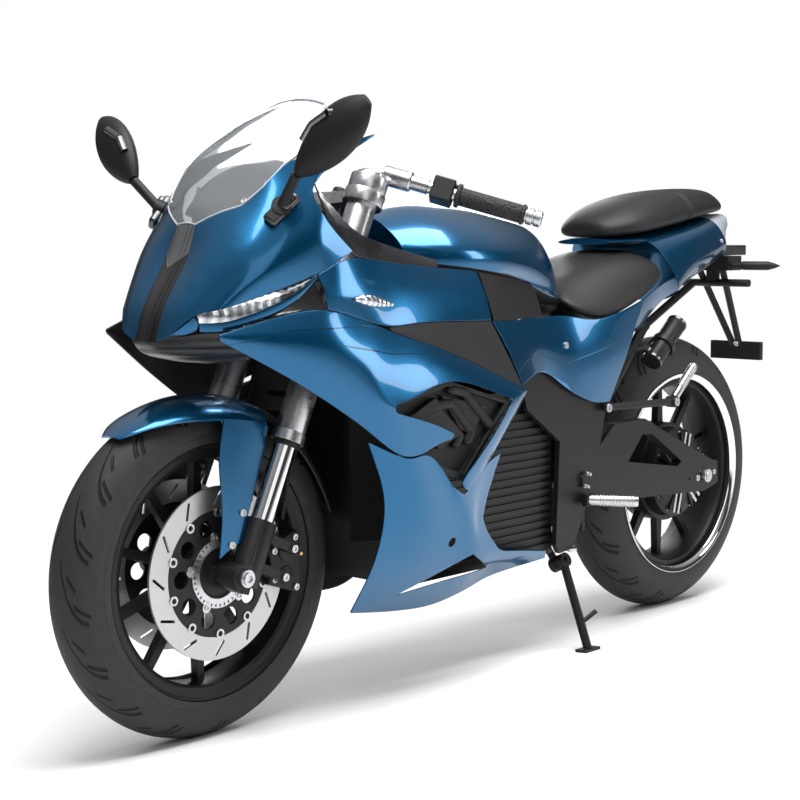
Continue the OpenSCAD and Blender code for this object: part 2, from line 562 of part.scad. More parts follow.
pillion_stations = [
    [292, [[0, 896], [36, 892], [58, 876], [54, 862], [30, 858], [0, 858]]],
    [225, [[0, 930], [66, 922], [106, 892], [102, 868], [60, 862], [0, 862]]],
    [90, [[0, 956], [66, 948], [104, 915], [100, 886], [60, 878], [0, 878]]],
    [-60, [[0, 966], [54, 958], [84, 930], [80, 908], [50, 900], [0, 900]]],
    [-165, [[0, 964], [38, 957], [58, 935], [56, 920], [34, 914], [0, 914]]],
    [-222, [[0, 944], [20, 940], [32, 930], [30, 922], [18, 918], [0, 918]]]];
module pillion_seat() color([0.08, 0.08, 0.08]) riding() translate([0, 0, -1.2])
    body_loft(pillion_stations, 8, 8);
tail_stations = [
    [150, [[0, 860.5], [80, 859], [122, 826], [132, 776], [126, 740], [70, 715], [0, 715]], 0, 0.8],
    [0, [[0, 882], [70, 880], [106, 857], [112, 814], [104, 784], [60, 752], [0, 752]], 0, 0.4],
    [-213, [[0, 904], [50, 901], [70, 884], [74, 856], [68, 834], [42, 812], [0, 812]], 0, 0.9]];
// Pale cap that closes the tail
cap_stations = [
    [-213.5, tail_stations[2][1], 0, 0.9],
    [-236, [[0, 909], [40, 906], [54, 891], [56, 872], [52, 856], [34, 838], [0, 838]], 0, 0.6],
    [-262, [[0, 912], [22, 909], [30, 900], [31, 888], [29, 880], [18, 870], [0, 870]], 0, 0.2]];
// Shelf under the front of the pillion seat
shelf_stations = [
    [288, [[0, 855.4], [50, 853.4], [70, 849], [70, 845], [50, 842], [0, 842]]],
    [204, [[0, 861.4], [76, 859.4], [104, 853], [104, 848], [80, 842], [0, 842]]]];
// Side strip under the seat, from the cover's rear edge to the tail
strip_low = [[318, 156.5, 663.5], [274, 146, 672], [184, 133, 718], [103.6, 126.4, 741]];
module tail_cowl() color([0.05, 0.3, 0.55]) riding() {
    body_loft(tail_stations, 8, 12);
    body_loft(shelf_stations, 3, 6);
    both() panel(grid_over(between(slice(waist, cover_end + 0.007, 14, 6, below),
        slice(strip_low, 0, 3, 6), 1), 8, 3), panel_t);
}
module tail_cap() color([0.6, 0.62, 0.65]) riding() body_loft(cap_stations, 5, 12);
module tail_lamp() color([0.15, 0.02, 0.02]) riding()
    translate([-328, -34, 811]) cube([112, 68, 24.5]);
plate_at = [-345, 0, 575];
hanger_half_w = 60;
module plate_hanger() color([0.06, 0.06, 0.065]) riding() {
    both() rod([-215, 34, 790], plate_at + [0, 8, 10], 8);
    translate([-350, -70, 555]) difference() {
        cube([14, 140, 44]);
        translate([-1, 70, 22]) rotate([0, 90, 0]) cylinder(h = 30, r = 3.3);
    }
    translate([-262, -hanger_half_w, 776]) cube([58.6, 2 * hanger_half_w, 34.4]);
    // Bar of the plate lamp
    cross_bar([-232, 746], -100, 100, 9);
    translate([-240, -14, 744]) cube([16, 28, 36]);
}
module rear_indicators() color([0.08, 0.08, 0.09]) riding() both()
    bar_frame([-215, hanger_half_w + 3.2, 788], [-262, 164, 787]) rotate_extrude()
        polygon([[0, 0], [6, 0], [6, 14], [10.5, 26], [10.5, 84], [6, 100], [0, 114]]);
module rider_pegs() color("silver") riding() both()
    rod([492, plate_y + plate_t + 7.8, 320], [420, 240, 316], 11);
peg_tip = [106, 168, 574];
module passenger_pegs() color("silver") riding() both()
    rod(arm_rear + unit(peg_tip - arm_rear) * 12.6, peg_tip, 9);
module shock_reservoir() color([0.06, 0.06, 0.065]) riding() both()
    rod(reservoir[0], reservoir[1], reservoir_r);

// Steering: everything here is drawn in the fork's own frame
tube_low = 250;
// Clamps of the bars sit on the upper yoke, round the tubes
clip_h = 28;
tube_high = yoke_top[1] + clip_h + 6;
foot_top = 105;
foot_wall = 6.5;
module yokes() color("silver") parked() fork_frame() {
    difference() {
        union() {
            for (z = [yoke_low, yoke_top]) {
                translate([0, 0, z[0]]) linear_extrude(z[1] - z[0]) {
                    polygon([[stem_x - 26, -30], [stem_x - 26, 30], [leg_x - 24, leg_y], [leg_x + 20, leg_y],
                        [stem_x + 40, 24], [stem_x + 40, -24], [leg_x + 20, -leg_y], [leg_x - 24, -leg_y]]);
                    for (s = [-1, 1]) translate([leg_x, s * leg_y]) circle(r = fork_tube_r + 10);
                }
            }
            translate([stem_x, 0, yoke_low[0]]) cylinder(h = yoke_top[1] - yoke_low[0] + 14, r = stem_r);
        }
        for (s = [-1, 1]) translate([leg_x, s * leg_y, 400]) cylinder(h = 500, r = fork_tube_r + run_fit);
    }
}
module fork_tubes() color("lightgray") parked() fork_frame() both() difference() {
    translate([leg_x, leg_y, tube_low]) cylinder(h = tube_high - tube_low, r = fork_tube_r);
    translate([leg_x, leg_y, tube_low - 1]) cylinder(h = 181, r = leg_r + run_fit);
}
module fork_legs() color("gainsboro") parked() fork_frame() both()
    translate([leg_x, leg_y, 30]) cylinder(h = 395, r = leg_r);
module fork_feet() color([0.07, 0.07, 0.075]) parked() fork_frame() both() difference() {
    union() {
        translate([leg_x, leg_y, -8]) cylinder(h = foot_top + 8, r = leg_r + foot_wall);
        translate([0, leg_y - 25, 0]) rotate([-90, 0, 0]) cylinder(h = 52, r = 24);
        translate([leg_x, leg_y - 25, -24]) cube([22, 50, 48]);
        // Lugs for the caliper
        for (z = [22, 74]) translate([leg_x - 98, leg_y - 16, z]) cube([86, 24, 16]);
    }
    translate([leg_x, leg_y, 30]) cylinder(h = 200, r = leg_r + run_fit);
    translate([0, -200, 0]) rotate([-90, 0, 0]) cylinder(h = 400, r = axle_r + run_fit);
}
module front_axle() color("silver") parked() fork_frame() {
    translate([0, -leg_y - 36, 0]) rotate([-90, 0, 0]) cylinder(h = 2 * leg_y + 72, r = axle_r);
    both() {
        translate([0, leg_y + 27.3, 0]) rotate([-90, 0, 0]) cylinder(h = 9, r = 15);
        // Spacer between the hub and the fork foot
        translate([0, hub_half_w + seat_gap, 0]) rotate([-90, 0, 0])
            cylinder(h = leg_y - leg_r - foot_wall - hub_half_w - 2 * seat_gap, r = 15);
    }
}
// Fender over the front tyre: [angle forward of up, half width, depth of the sides]
fender_gap = 8;
fender_t = 3.5;
fender_table = [[36, 22, 3], [30, 44, 8], [22, 58, 18], [10, 74, 32], [0, 82, 38], [-10, 85, 39],
    [-20.5, 84, 38]];
flap_table = [[-20.6, 62, 20], [-40, 62, 30], [-60, 60, 30], [-76, 54, 20]];
// Guard that drops from each side to the fork foot: columns from the front back, in the fork's frame
guard_columns = [
    [[114, 84, 240], [101, 88, 172], [64, 93, 100], [38, 95, 18]],
    [[66, 86, 256], [56, 90, 180], [38, 95, 105], [24, 97, 40]],
    [[18, 86, 263], [10, 90, 190], [8.5, 96, 110], [5.5, 98, 60]]];
arch_turn = 80;
function arch_grid(table, steps, count) =
    let (rows = smooth(table, steps))
    [for (t = rows) [for (j = [0:count])
        let (turn = (2 * j / count - 1) * arch_turn,
             r = front_tyre_r + fender_gap - (1 - cos(turn)) / (1 - cos(arch_turn)) * t[2])
        [r * sin(t[0]), t[1] * sin(turn) / sin(arch_turn), r * cos(t[0])]]];
// Wall that grows away from the axle
module arch(table, steps, count, wall) {
    g = arch_grid(table, steps, count);
    sheet([for (r = g) [for (p = r) p + wall * unit([p[0] * 0.8, p[1] * 2.2, p[2] * 0.8])]], g);
}
module front_fender() color([0.05, 0.3, 0.55]) parked() translate(front_axle_at) {
    arch(fender_table, 12, 10, fender_t);
    rotate([0, -rake, 0]) both() {
        g = grid_over(guard_columns, 6, 6);
        sheet(g, [for (r = g) [for (p = r) p - [0, panel_t, 0]]]);
    }
}
// Dark flap behind the fork legs
module fender_flap() color([0.12, 0.12, 0.125]) parked() translate(front_axle_at)
    arch(flap_table, 9, 8, fender_t);
disc_y = 58;
hub_half_w = 60;
// Caliper: a sector of a ring round the axle, from jaw_y[0] to jaw_y[1]
jaw_r = [98, 172];
jaw_y = [34, leg_y - 16 - seat_gap];
jaw_from = 136;
jaw_sweep = 38;
module calipers() color([0.08, 0.08, 0.085]) parked() fork_frame() both() difference() {
    rotate([90, 0, 0]) rotate([0, 0, jaw_from]) rotate_extrude(angle = jaw_sweep)
        translate([jaw_r[0], -jaw_y[1]]) square([jaw_r[1] - jaw_r[0], jaw_y[1] - jaw_y[0]]);
    // Slot that straddles the disc
    translate([0, disc_y - 8, 0]) rotate([-90, 0, 0]) cylinder(h = 16, r = disc_r + 6);
}
module handlebars() color("silver") parked() fork_frame() both() {
    rod(bar_root, bar_end, bar_r);
    difference() {
        union() {
            translate([leg_x, leg_y, yoke_top[1] + seat_gap]) cylinder(h = clip_h, r = fork_tube_r + 8);
            rod(bar_root + [2, 4, -42], bar_root + [0, 0, 8], 14);
        }
        translate([leg_x, leg_y, 400]) cylinder(h = 500, r = fork_tube_r + run_fit);
    }
}
bar_len = norm(bar_end - bar_root);
module switchgear() color([0.06, 0.06, 0.065]) parked() fork_frame() both() bar_frame(bar_root, bar_end)
    difference() {
        translate([-22, -18, 96]) cube([44, 36, 40]);
        cylinder(h = 400, r = bar_r + run_fit);
    }
module grips() color([0.05, 0.05, 0.05]) parked() fork_frame() both() bar_frame(bar_root, bar_end)
    difference() {
        translate([0, 0, 140]) cylinder(h = bar_len - 140 - 30, r = grip_r);
        cylinder(h = 400, r = bar_r + run_fit);
    }
// Hose from the caliper up behind the leg to the lower yoke
hose_r = 4;
// Each bend is a little thicker than the hose
bend_r = hose_r + 0.6;
hose_route = [[leg_x - 72, leg_y - 30, 128], [leg_x - 52, leg_y - 24, 190], [leg_x - 40, leg_y - 22, 300],
    [leg_x - 34, leg_y - 20, 430], [leg_x - 28, leg_y - 16, yoke_low[0] - seat_gap]];
module brake_hoses() color([0.05, 0.05, 0.05]) parked() fork_frame() both()
    union() {
        for (k = [0:len(hose_route) - 2]) rod(hose_route[k], hose_route[k + 1], hose_r);
        for (k = [1:len(hose_route) - 2]) translate(hose_route[k]) sphere(r = bend_r);
    }

// Wheels
module tyre(r, w, seat_r) {
    rotate_extrude($fn = 96) intersection() {
        translate([r - w / 2, 0]) circle(r = w / 2);
        translate([seat_r, -w / 2]) square([r, w]);
    }
}
bead_in = 10;
module front_tyre() color([0.07, 0.07, 0.07]) parked() wheel_at(front_axle_at)
    tyre(front_tyre_r, front_tyre_w, rim_r - bead_in + 0.2);
module rear_tyre() color([0.07, 0.07, 0.07]) parked() wheel_at(rear_axle_at)
    tyre(rear_tyre_r, rear_tyre_w, rim_r - bead_in + 0.2);
// Barrel with spokes and a hub on the y axis
module rim(half_w, spokes, hub_r, hub_w) {
    reach = rim_r - bead_in - 16;
    difference() {
        union() {
            rotate_extrude($fn = 96) polygon([[rim_r - bead_in - 18, -half_w], [rim_r - bead_in, -half_w],
                [rim_r - bead_in, half_w], [rim_r - bead_in - 18, half_w],
                [rim_r - bead_in - 26, half_w * 0.4], [rim_r - bead_in - 26, -half_w * 0.4]]);
            for (k = [0:spokes - 1]) rotate([0, 0, (k + 0.5) * 360 / spokes])
                translate([hub_r - 6, 0, -9]) linear_extrude(18)
                    polygon([[0, -11], [reach - hub_r, -7], [reach - hub_r, 7], [0, 11]]);
            translate([0, 0, -hub_w]) cylinder(h = 2 * hub_w, r = hub_r);
        }
        translate([0, 0, -200]) cylinder(h = 400, r = axle_r + run_fit);
    }
}
front_hub_r = 40;
module front_rim() color([0.06, 0.06, 0.06]) parked() wheel_at(front_axle_at)
    rim(40, front_spokes, front_hub_r, hub_half_w);
disc_w = 40;
disc_slots = 12;
slot_size = [30, 5];
slot_turn = 40;
carrier_holes = 10;
module front_discs() color("silver") parked() wheel_at(front_axle_at) for (s = [-1, 1])
    translate([0, 0, s * disc_y - disc_t / 2]) linear_extrude(disc_t) difference() {
        circle(r = disc_r, $fn = 96);
        circle(r = disc_r - disc_w, $fn = 96);
        for (k = [0:disc_slots - 1]) rotate(k * 360 / disc_slots) translate([disc_r - disc_w / 2, 0])
            rotate(slot_turn) square(slot_size, center = true);
    }
module disc_carriers() color([0.07, 0.07, 0.07]) parked() wheel_at(front_axle_at) for (s = [-1, 1])
    translate([0, 0, s * disc_y - disc_t / 2]) linear_extrude(disc_t) difference() {
        circle(r = disc_r - disc_w - seat_gap, $fn = 96);
        circle(r = front_hub_r + seat_gap);
        for (k = [0:carrier_holes - 1]) rotate(k * 360 / carrier_holes) translate([disc_r - disc_w - 28, 0])
            circle(r = 15, $fn = 24);
    }
// Slotted ring for the wheel-speed sensor, on the left carrier
tone_r = [44, 60];
tone_slots = 36;
module tone_ring() color("silver") parked() wheel_at(front_axle_at)
    translate([0, 0, -disc_y - disc_t / 2 - seat_gap - 2]) linear_extrude(2) difference() {
        circle(r = tone_r[1], $fn = 96);
        circle(r = tone_r[0]);
        for (k = [0:tone_slots - 1]) rotate(k * 360 / tone_slots)
            translate([tone_r[1] - 7, -1.5]) square([5, 3]);
    }
module rear_rim() color([0.06, 0.06, 0.06]) parked() wheel_at(rear_axle_at) difference() {
    rim(52, rear_spokes, motor_r - 8, 30);
    translate([0, 0, -200]) cylinder(h = 400, r = motor_r - 20);
}
// Hub motor: half profile [radius, distance from the middle], with ribs across each end
motor_profile = [[0, 82], [34, 82], [38, 70], [motor_r - 36, 64], [motor_r - 20.3, 56]];
motor_ribs = 12;
module hub_motor() color([0.09, 0.09, 0.095]) parked() wheel_at(rear_axle_at) difference() {
    union() {
        rotate_extrude($fn = 96) polygon(concat(motor_profile,
            [for (k = [len(motor_profile) - 1:-1:0]) [motor_profile[k][0], -motor_profile[k][1]]]));
        for (k = [0:motor_ribs - 1]) rotate([0, 0, k * 360 / motor_ribs])
            translate([36, -2.5, -70]) cube([motor_r - 64, 5, 140]);
    }
    translate([0, 0, -200]) cylinder(h = 400, r = axle_r + run_fit);
}

// Side stand: drawn upright, its foot flat on the floor
stand_foot = from_floor(534, 200) - [0, 0, ride];
module side_stand() color([0.06, 0.06, 0.065]) riding() {
    difference() {
        union() {
            stand_frame() translate([0, 0, -knuckle_half]) cylinder(h = 2 * knuckle_half, r = 15);
            rod(stand_pivot, stand_foot + [0, 0, 4], stand_r);
        }
        stand_frame() translate([0, 0, -40]) cylinder(h = 80, r = stand_pin_r + run_fit);
    }
    translate(stand_foot) rotate([lean, 0, 0]) translate([-24, -14, 0]) cube([48, 28, 6]);
    // Prong for the rider's foot
    prong = lerp(stand_pivot, stand_foot, 0.7);
    rod(prong, prong + [-34, 14, 22], 5);
}

main_frame();
subframe();
battery_case();
swingarm();
rear_axle();
fairing_stay();
upper_cowl();
nose_insert();
headlamps();
chin_duct();
windscreen();
instrument_panel();
mirrors();
front_indicators();
inner_panels();
mid_panels();
lamp_fillers();
cockpit_rails();
side_fairings();
side_inserts();
vent_louvres();
lower_fairings();
tank_cover();
knee_pads();
rear_side_covers();
rider_seat();
pillion_seat();
tail_cowl();
tail_cap();
tail_lamp();
rear_indicators();
plate_hanger();
rider_pegs();
passenger_pegs();
shock_reservoir();
yokes();
fork_tubes();
fork_legs();
fork_feet();
front_axle();
front_fender();
fender_flap();
calipers();
handlebars();
switchgear();
grips();
brake_hoses();
front_tyre();
front_rim();
front_discs();
disc_carriers();
tone_ring();
rear_tyre();
rear_rim();
hub_motor();
side_stand();
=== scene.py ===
# %% [markdown]
# # Electric sport motorcycle
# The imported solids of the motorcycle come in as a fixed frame. Each cell below dresses one
# family of pieces: the camera and the finishes first, then the bodywork, the seats, the wheels, the
# fork, the nose and the small fittings, and last the floor and the light.
# %% Load the frame
import json
import math

import bmesh
import bpy
from mathutils import Matrix, Vector
from mathutils.bvhtree import BVHTree


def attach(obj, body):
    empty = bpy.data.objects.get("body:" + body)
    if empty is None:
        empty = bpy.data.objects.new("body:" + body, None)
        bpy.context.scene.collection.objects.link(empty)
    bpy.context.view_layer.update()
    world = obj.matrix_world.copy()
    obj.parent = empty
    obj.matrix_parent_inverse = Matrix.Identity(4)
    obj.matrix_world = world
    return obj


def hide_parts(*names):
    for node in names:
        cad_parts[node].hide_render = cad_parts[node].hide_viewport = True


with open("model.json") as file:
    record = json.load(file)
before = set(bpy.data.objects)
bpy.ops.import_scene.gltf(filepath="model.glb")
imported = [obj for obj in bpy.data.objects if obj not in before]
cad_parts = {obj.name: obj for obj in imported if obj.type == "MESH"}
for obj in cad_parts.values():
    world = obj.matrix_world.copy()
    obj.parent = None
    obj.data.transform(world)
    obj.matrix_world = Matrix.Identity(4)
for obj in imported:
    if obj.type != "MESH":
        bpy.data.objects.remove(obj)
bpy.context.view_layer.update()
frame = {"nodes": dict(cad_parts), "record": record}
nodes = frame["nodes"]
record = frame["record"]
bodies = record["behaviour"]["bodies"]
body_of = {name: body for body, names in bodies.items() for name in names}
slot_of = {row["node"]: row["material_slot"] for row in record["subparts"]}
scene = bpy.context.scene

# %% [markdown]
# ## Camera
# The machine is seen from its left front corner through a long lens. It leans on its stand, so the
# camera rolls a little with it. A camera looks along its own -Z with +Y up, so its three axes are
# written straight into its matrix instead of through angles.
# %% Camera at the photograph's angle
camera_at = Vector((2.566, 2.1796, 0.6713))
looking = Vector((-0.72799, -0.68446, -0.03931)).normalized()
image_right = Vector((-0.68134, 0.72867, -0.06947)).normalized()
image_up = image_right.cross(looking)

lens = bpy.data.cameras.new("camera")
lens.lens = 75.0
lens.sensor_width = 36.0
camera = bpy.data.objects.new("camera", lens)
axes = Matrix((image_right, image_up, -looking)).transposed().to_4x4()
camera.matrix_world = Matrix.Translation(camera_at) @ axes
scene.collection.objects.link(camera)
scene.camera = camera
scene.view_settings.view_transform = "Standard"
print("camera at", tuple(round(v, 3) for v in camera_at))

# %% [markdown]
# ## Drawing frames
# Pieces are easier to place on an upright machine, in millimetres, with the rear axle at x = 0 and
# the ground at z = 0. One matrix then leans a finished piece onto the stand. The fork has a frame of
# its own, whose z runs up the legs from the front axle. The pillion's two seams are places along x
# that both its vinyl and its padding need.
# %% Upright frame and fork frame
lean = math.radians(5)
upright_at = Vector((-0.6705, -0.08427, 0.00021))
millimetres = Matrix.Scale(0.001, 4)
upright = Matrix.Translation(upright_at) @ Matrix.Rotation(-lean, 4, "X") @ millimetres
front_hub = Vector((1400, 0, 293))
rear_hub = Vector((0, 0, 314))
fork = upright @ Matrix.Translation(front_hub) @ Matrix.Rotation(math.radians(-25), 4, "Y")
seams_at = (15, 2)
print("front hub at", tuple(round(v, 3) for v in upright @ front_hub))


# %% [markdown]
# ## Shader sums
# A node tree is easier to read when it is written as sums. `Wire` stands for an output socket, and
# its operators add Math nodes. `Finish` is one material under work, and its `add` makes any node.
# %% Wires and finishes
class Wire:
    """An output socket that can be used in sums."""

    def __init__(self, finish, socket):
        self.finish = finish
        self.socket = socket

    def sum(self, operation, first, second=0.0):
        return self.finish.add("ShaderNodeMath", {"operation": operation}, {0: first, 1: second})

    def __add__(self, other):
        return self.sum("ADD", self, other)

    def __sub__(self, other):
        return self.sum("SUBTRACT", self, other)

    def __rsub__(self, other):
        return self.sum("SUBTRACT", other, self)

    def __mul__(self, other):
        return self.sum("MULTIPLY", self, other)

    def __gt__(self, other):
        return self.sum("GREATER_THAN", self, other)

    def __lt__(self, other):
        return self.sum("LESS_THAN", self, other)

    def __abs__(self):
        return self.sum("ABSOLUTE", self)

    def sign(self):
        return self.sum("SIGN", self)

    def beyond_whole(self):
        return self.sum("FRACT", self)

    def most(self, other):
        return self.sum("MAXIMUM", self, other)

    def held(self):
        return self.finish.add("ShaderNodeClamp", sockets={"Value": self})


class Finish:
    """One procedural material. Constants go straight onto the shader's sockets."""

    def __init__(self, name, **constants):
        self.material = bpy.data.materials.new(name)
        self.material.use_nodes = True
        self.tree = self.material.node_tree
        self.shader = self.tree.nodes["Principled BSDF"]
        for socket, value in constants.items():
            self.plug(self.shader.inputs[socket.replace("_", " ")], value)

    def plug(self, socket, value):
        if isinstance(value, Wire):
            self.tree.links.new(value.socket, socket)
        elif isinstance(value, tuple) and len(value) == 3 and socket.type == "RGBA":
            socket.default_value = (*value, 1.0)
        else:
            socket.default_value = value

    def add(self, kind, settings=None, sockets=None, out=0):
        node = self.tree.nodes.new(kind)
        for name, value in (settings or {}).items():
            setattr(node, name, value)
        for name, value in (sockets or {}).items():
            self.plug(node.inputs[name], value)
        return Wire(self, node.outputs[out])

    def place(self):
        return self.add("ShaderNodeTexCoord", out="Object")

    def facing(self):
        return self.add("ShaderNodeTexCoord", out="Normal")

    def upright(self, centre=(0, 0, 0)):
        """Object coordinates on the upright machine, in metres from centre (millimetres)."""
        at = upright @ Vector(centre)
        values = {"Vector": self.place(), "Location": at, "Rotation": (-lean, 0, 0)}
        return self.add("ShaderNodeMapping", {"vector_type": "TEXTURE"}, values)

    def split(self, vector):
        node = self.add("ShaderNodeSeparateXYZ", sockets={"Vector": vector}).socket.node
        return [Wire(self, output) for output in node.outputs]

    def noise(self, scale, detail=2.0, place=None):
        values = {"Vector": place or self.place(), "Scale": scale, "Detail": detail}
        return self.add("ShaderNodeTexNoise", sockets=values)

    def between(self, amount, first, second):
        values = {0: amount, 6: first, 7: second}
        return self.add("ShaderNodeMix", {"data_type": "RGBA"}, values, out=2)

    def relief(self, height, depth, strength=1.0):
        values = {"Height": height, "Distance": depth, "Strength": strength}
        self.feed("Normal", self.add("ShaderNodeBump", sockets=values))

    def feed(self, socket, value):
        self.plug(self.shader.inputs[socket], value)


# %% [markdown]
# ## Lines on the lacquer
# Some creases of the covers are only a fold in the lacquer, painted as a thin dark line of shade,
# and a chamfer as a pale band of painted highlight. Each is drawn as a polyline on the side view.
# The shader measures how far each point is from the nearest piece of it.
# %% Distance to a folded line
def line_distance(finish, x, z, corners):
    """Least distance, in metres, from (x, z) to a polyline given in millimetres."""
    least = None
    for (x0, z0), (x1, z1) in zip(corners, corners[1:]):
        x0, z0, x1, z1 = (v / 1000 for v in (x0, z0, x1, z1))
        run, rise = x1 - x0, z1 - z0
        part = (((x - x0) * run + (z - z0) * rise) * (1 / (run * run + rise * rise))).held()
        off_x = x - (part * run + x0)
        off_z = z - (part * rise + z0)
        squared = off_x * off_x + off_z * off_z
        away = squared.sum("SQRT", squared)
        least = away if least is None else least.sum("MINIMUM", least, away)
    return least


# %% [markdown]
# ## Lacquer
# The fairings are metallic blue under clear lacquer: a metallic base with a coat, and flakes from a
# very fine noise. The lacquer covers only the outside, so a face that looks towards the machine's
# middle plane, or straight down, is bare black plastic. A crease is a small dent with a thin dark line
# of painted shade along it, and a chamfer is a paler band of painted highlight.
# %% Blue lacquer
def lacquer(name, shaded_creases=(), chamfer_highlight=None):
    paint_job = Finish(name, Coat_Roughness=0.02, Coat_IOR=1.32)
    x, y, z = paint_job.split(paint_job.upright())
    across, up = paint_job.split(paint_job.facing())[1:]
    bare = ((across * y.sign()) < -0.3).most(up < -0.72)
    flakes = paint_job.noise(2600.0, 1.0)
    colour = paint_job.between(flakes, (0.0003, 0.05, 0.125), (0.0008, 0.125, 0.285))
    height = paint_job.noise(90.0, 1.0) * 0.1
    for corners in shaded_creases:
        crease_shade = (1 - line_distance(paint_job, x, z, corners) * 700).held()
        # Painted shade: a thin dark line along each crease, over a small dent in the relief.
        colour = paint_job.between(crease_shade * 0.75, colour, (0.001, 0.006, 0.016))
        height = height - crease_shade
    if chamfer_highlight:
        # Painted highlight: a paler blue band along the chamfer's line.
        strip = (5.5 - line_distance(paint_job, x, z, chamfer_highlight) * 900).held()
        colour = paint_job.between(strip * 0.8, colour, (0.06, 0.25, 0.55))
    paint_job.feed("Base Color", paint_job.between(bare, colour, (0.012, 0.012, 0.013)))
    paint_job.feed("Metallic", 0.78 - bare * 0.78)
    paint_job.feed("Roughness", bare * 0.3 + 0.2)
    paint_job.feed("Coat Weight", 1 - bare)
    paint_job.relief(height, 0.0008, 0.35)
    return paint_job


blue = lacquer("blue_lacquer")
cover_blue = lacquer("cover_lacquer", [
    [(751, 606), (714, 620), (652, 632), (561, 604), (442, 628), (330, 652)]],
    chamfer_highlight=[(657, 590), (637, 590), (559, 558), (525, 514), (457, 514)])
fairing_blue = lacquer("fairing_lacquer", shaded_creases=[
    [(1480, 684), (1349, 708), (1208, 712), (1082, 694)],
    [(1256, 680), (1134, 660), (1003, 655), (863, 622), (769, 588)]])
tail_blue = lacquer("tail_lacquer", shaded_creases=[[(151, 652), (101, 706), (14, 771), (-77, 826)]])
print("lacquer ready")

# %% [markdown]
# ## Plastics
# Black mouldings have a fine grain, so their roughness and relief come from noise. The nose strip has
# raised lines along it, and a grey plate above whose lower edge is a V.
# %% Finishes of the plastics
moulded = Finish("moulded_black", Specular_IOR_Level=0.25)
grain = moulded.noise(900.0, 3.0)
moulded.feed("Base Color", moulded.between(grain, (0.005, 0.005, 0.0055), (0.014, 0.014, 0.015)))
moulded.feed("Roughness", grain * 0.25 + 0.38)
moulded.relief(grain, 0.0003, 0.5)

gloss_black = Finish("gloss_black", Coat_Weight=0.6, Coat_Roughness=0.05)
haze = gloss_black.noise(40.0, 2.0)
gloss_black.feed("Base Color", gloss_black.between(haze, (0.006, 0.006, 0.007), (0.014, 0.014, 0.016)))
gloss_black.feed("Roughness", haze * 0.1 + 0.16)

grey_trim = Finish("grey_trim", Specular_IOR_Level=0.25)
speck = grey_trim.noise(1400.0, 2.0)
grey_trim.feed("Base Color", grey_trim.between(speck, (0.009, 0.0092, 0.0098), (0.02, 0.0204, 0.0215)))
grey_trim.feed("Roughness", speck * 0.2 + 0.4)
grey_trim.relief(speck, 0.0002, 0.4)

pale_trim = Finish("pale_trim", Coat_Weight=0.8, Coat_Roughness=0.06)
cloud = pale_trim.noise(300.0, 2.0)
pale_trim.feed("Base Color", pale_trim.between(cloud, (0.36, 0.39, 0.43), (0.46, 0.49, 0.53)))
pale_trim.feed("Roughness", cloud * 0.15 + 0.3)

nose_strip = Finish("nose_strip", Coat_Weight=0.4)
_, nose_y, nose_z = nose_strip.split(nose_strip.upright())
plate_line = nose_z - abs(nose_y) * 0.9
plate = plate_line > 0.812
lines = (1 - abs(abs(nose_y) - 0.013) * 900).held().most((1 - abs(abs(nose_y) - 0.02) * 900).held())
nose_strip.feed("Base Color", nose_strip.between(plate, (0.006, 0.006, 0.0065), (0.06, 0.062, 0.065)))
edge_of_plate = (1 - abs(plate_line - 0.812) * 500).held()
nose_strip.feed("Roughness", plate * 0.2 + 0.15)
nose_strip.relief(lines.most(edge_of_plate), 0.003, 0.8)

slatted = Finish("slatted_black", Specular_IOR_Level=0.45)
slat_z = slatted.split(slatted.upright())[2]
slats = abs((slat_z * 70.0).beyond_whole() - 0.5)
# Painted shade: the hollows between the slats are darker than their ridges.
slatted.feed("Base Color", slatted.between(slats, (0.006, 0.006, 0.006), (0.03, 0.03, 0.032)))
slatted.feed("Roughness", slats * 0.4 + 0.3)
slatted.relief(slats, 0.006, 0.8)
print("plastics ready")

# %% [markdown]
# ## Metals
# Castings are painted satin black, the fork and the bars are bare satin metal, and the sliding legs
# are chromed. Bare metal is told apart by its roughness, so that is what varies over the surface.
# %% Finishes of the running gear
casting = Finish("satin_casting", Specular_IOR_Level=0.25)
pores = casting.noise(420.0, 4.0)
casting.feed("Base Color", casting.between(pores, (0.005, 0.005, 0.0055), (0.013, 0.013, 0.014)))
casting.feed("Roughness", pores * 0.25 + 0.3)
casting.relief(pores, 0.0002, 0.4)

silver = Finish("satin_silver", Metallic=1.0)
brush = silver.noise(160.0, 4.0)
silver.feed("Base Color", silver.between(brush, (0.42, 0.425, 0.435), (0.56, 0.565, 0.575)))
silver.feed("Roughness", brush * 0.15 + 0.22)
silver.relief(silver.noise(900.0, 2.0), 0.00005, 0.2)

chrome = Finish("chrome", Metallic=1.0)
film = chrome.noise(25.0, 3.0)
chrome.feed("Base Color", chrome.between(film, (0.62, 0.63, 0.64), (0.74, 0.74, 0.75)))
chrome.feed("Roughness", film * 0.06 + 0.04)

ground_steel = Finish("ground_steel", Metallic=1.0)
scratch = ground_steel.noise(700.0, 2.0)
ground_steel.feed("Base Color", ground_steel.between(scratch, (0.42, 0.415, 0.41), (0.56, 0.55, 0.545)))
ground_steel.feed("Roughness", scratch * 0.2 + 0.32)
ground_steel.relief(scratch, 0.0001, 0.3)

brass = Finish("brass", Metallic=1.0)
tarnish = brass.noise(300.0, 2.0)
brass.feed("Base Color", brass.between(tarnish, (0.5, 0.32, 0.1), (0.72, 0.5, 0.2)))
brass.feed("Roughness", tarnish * 0.2 + 0.25)
print("metal finishes ready")


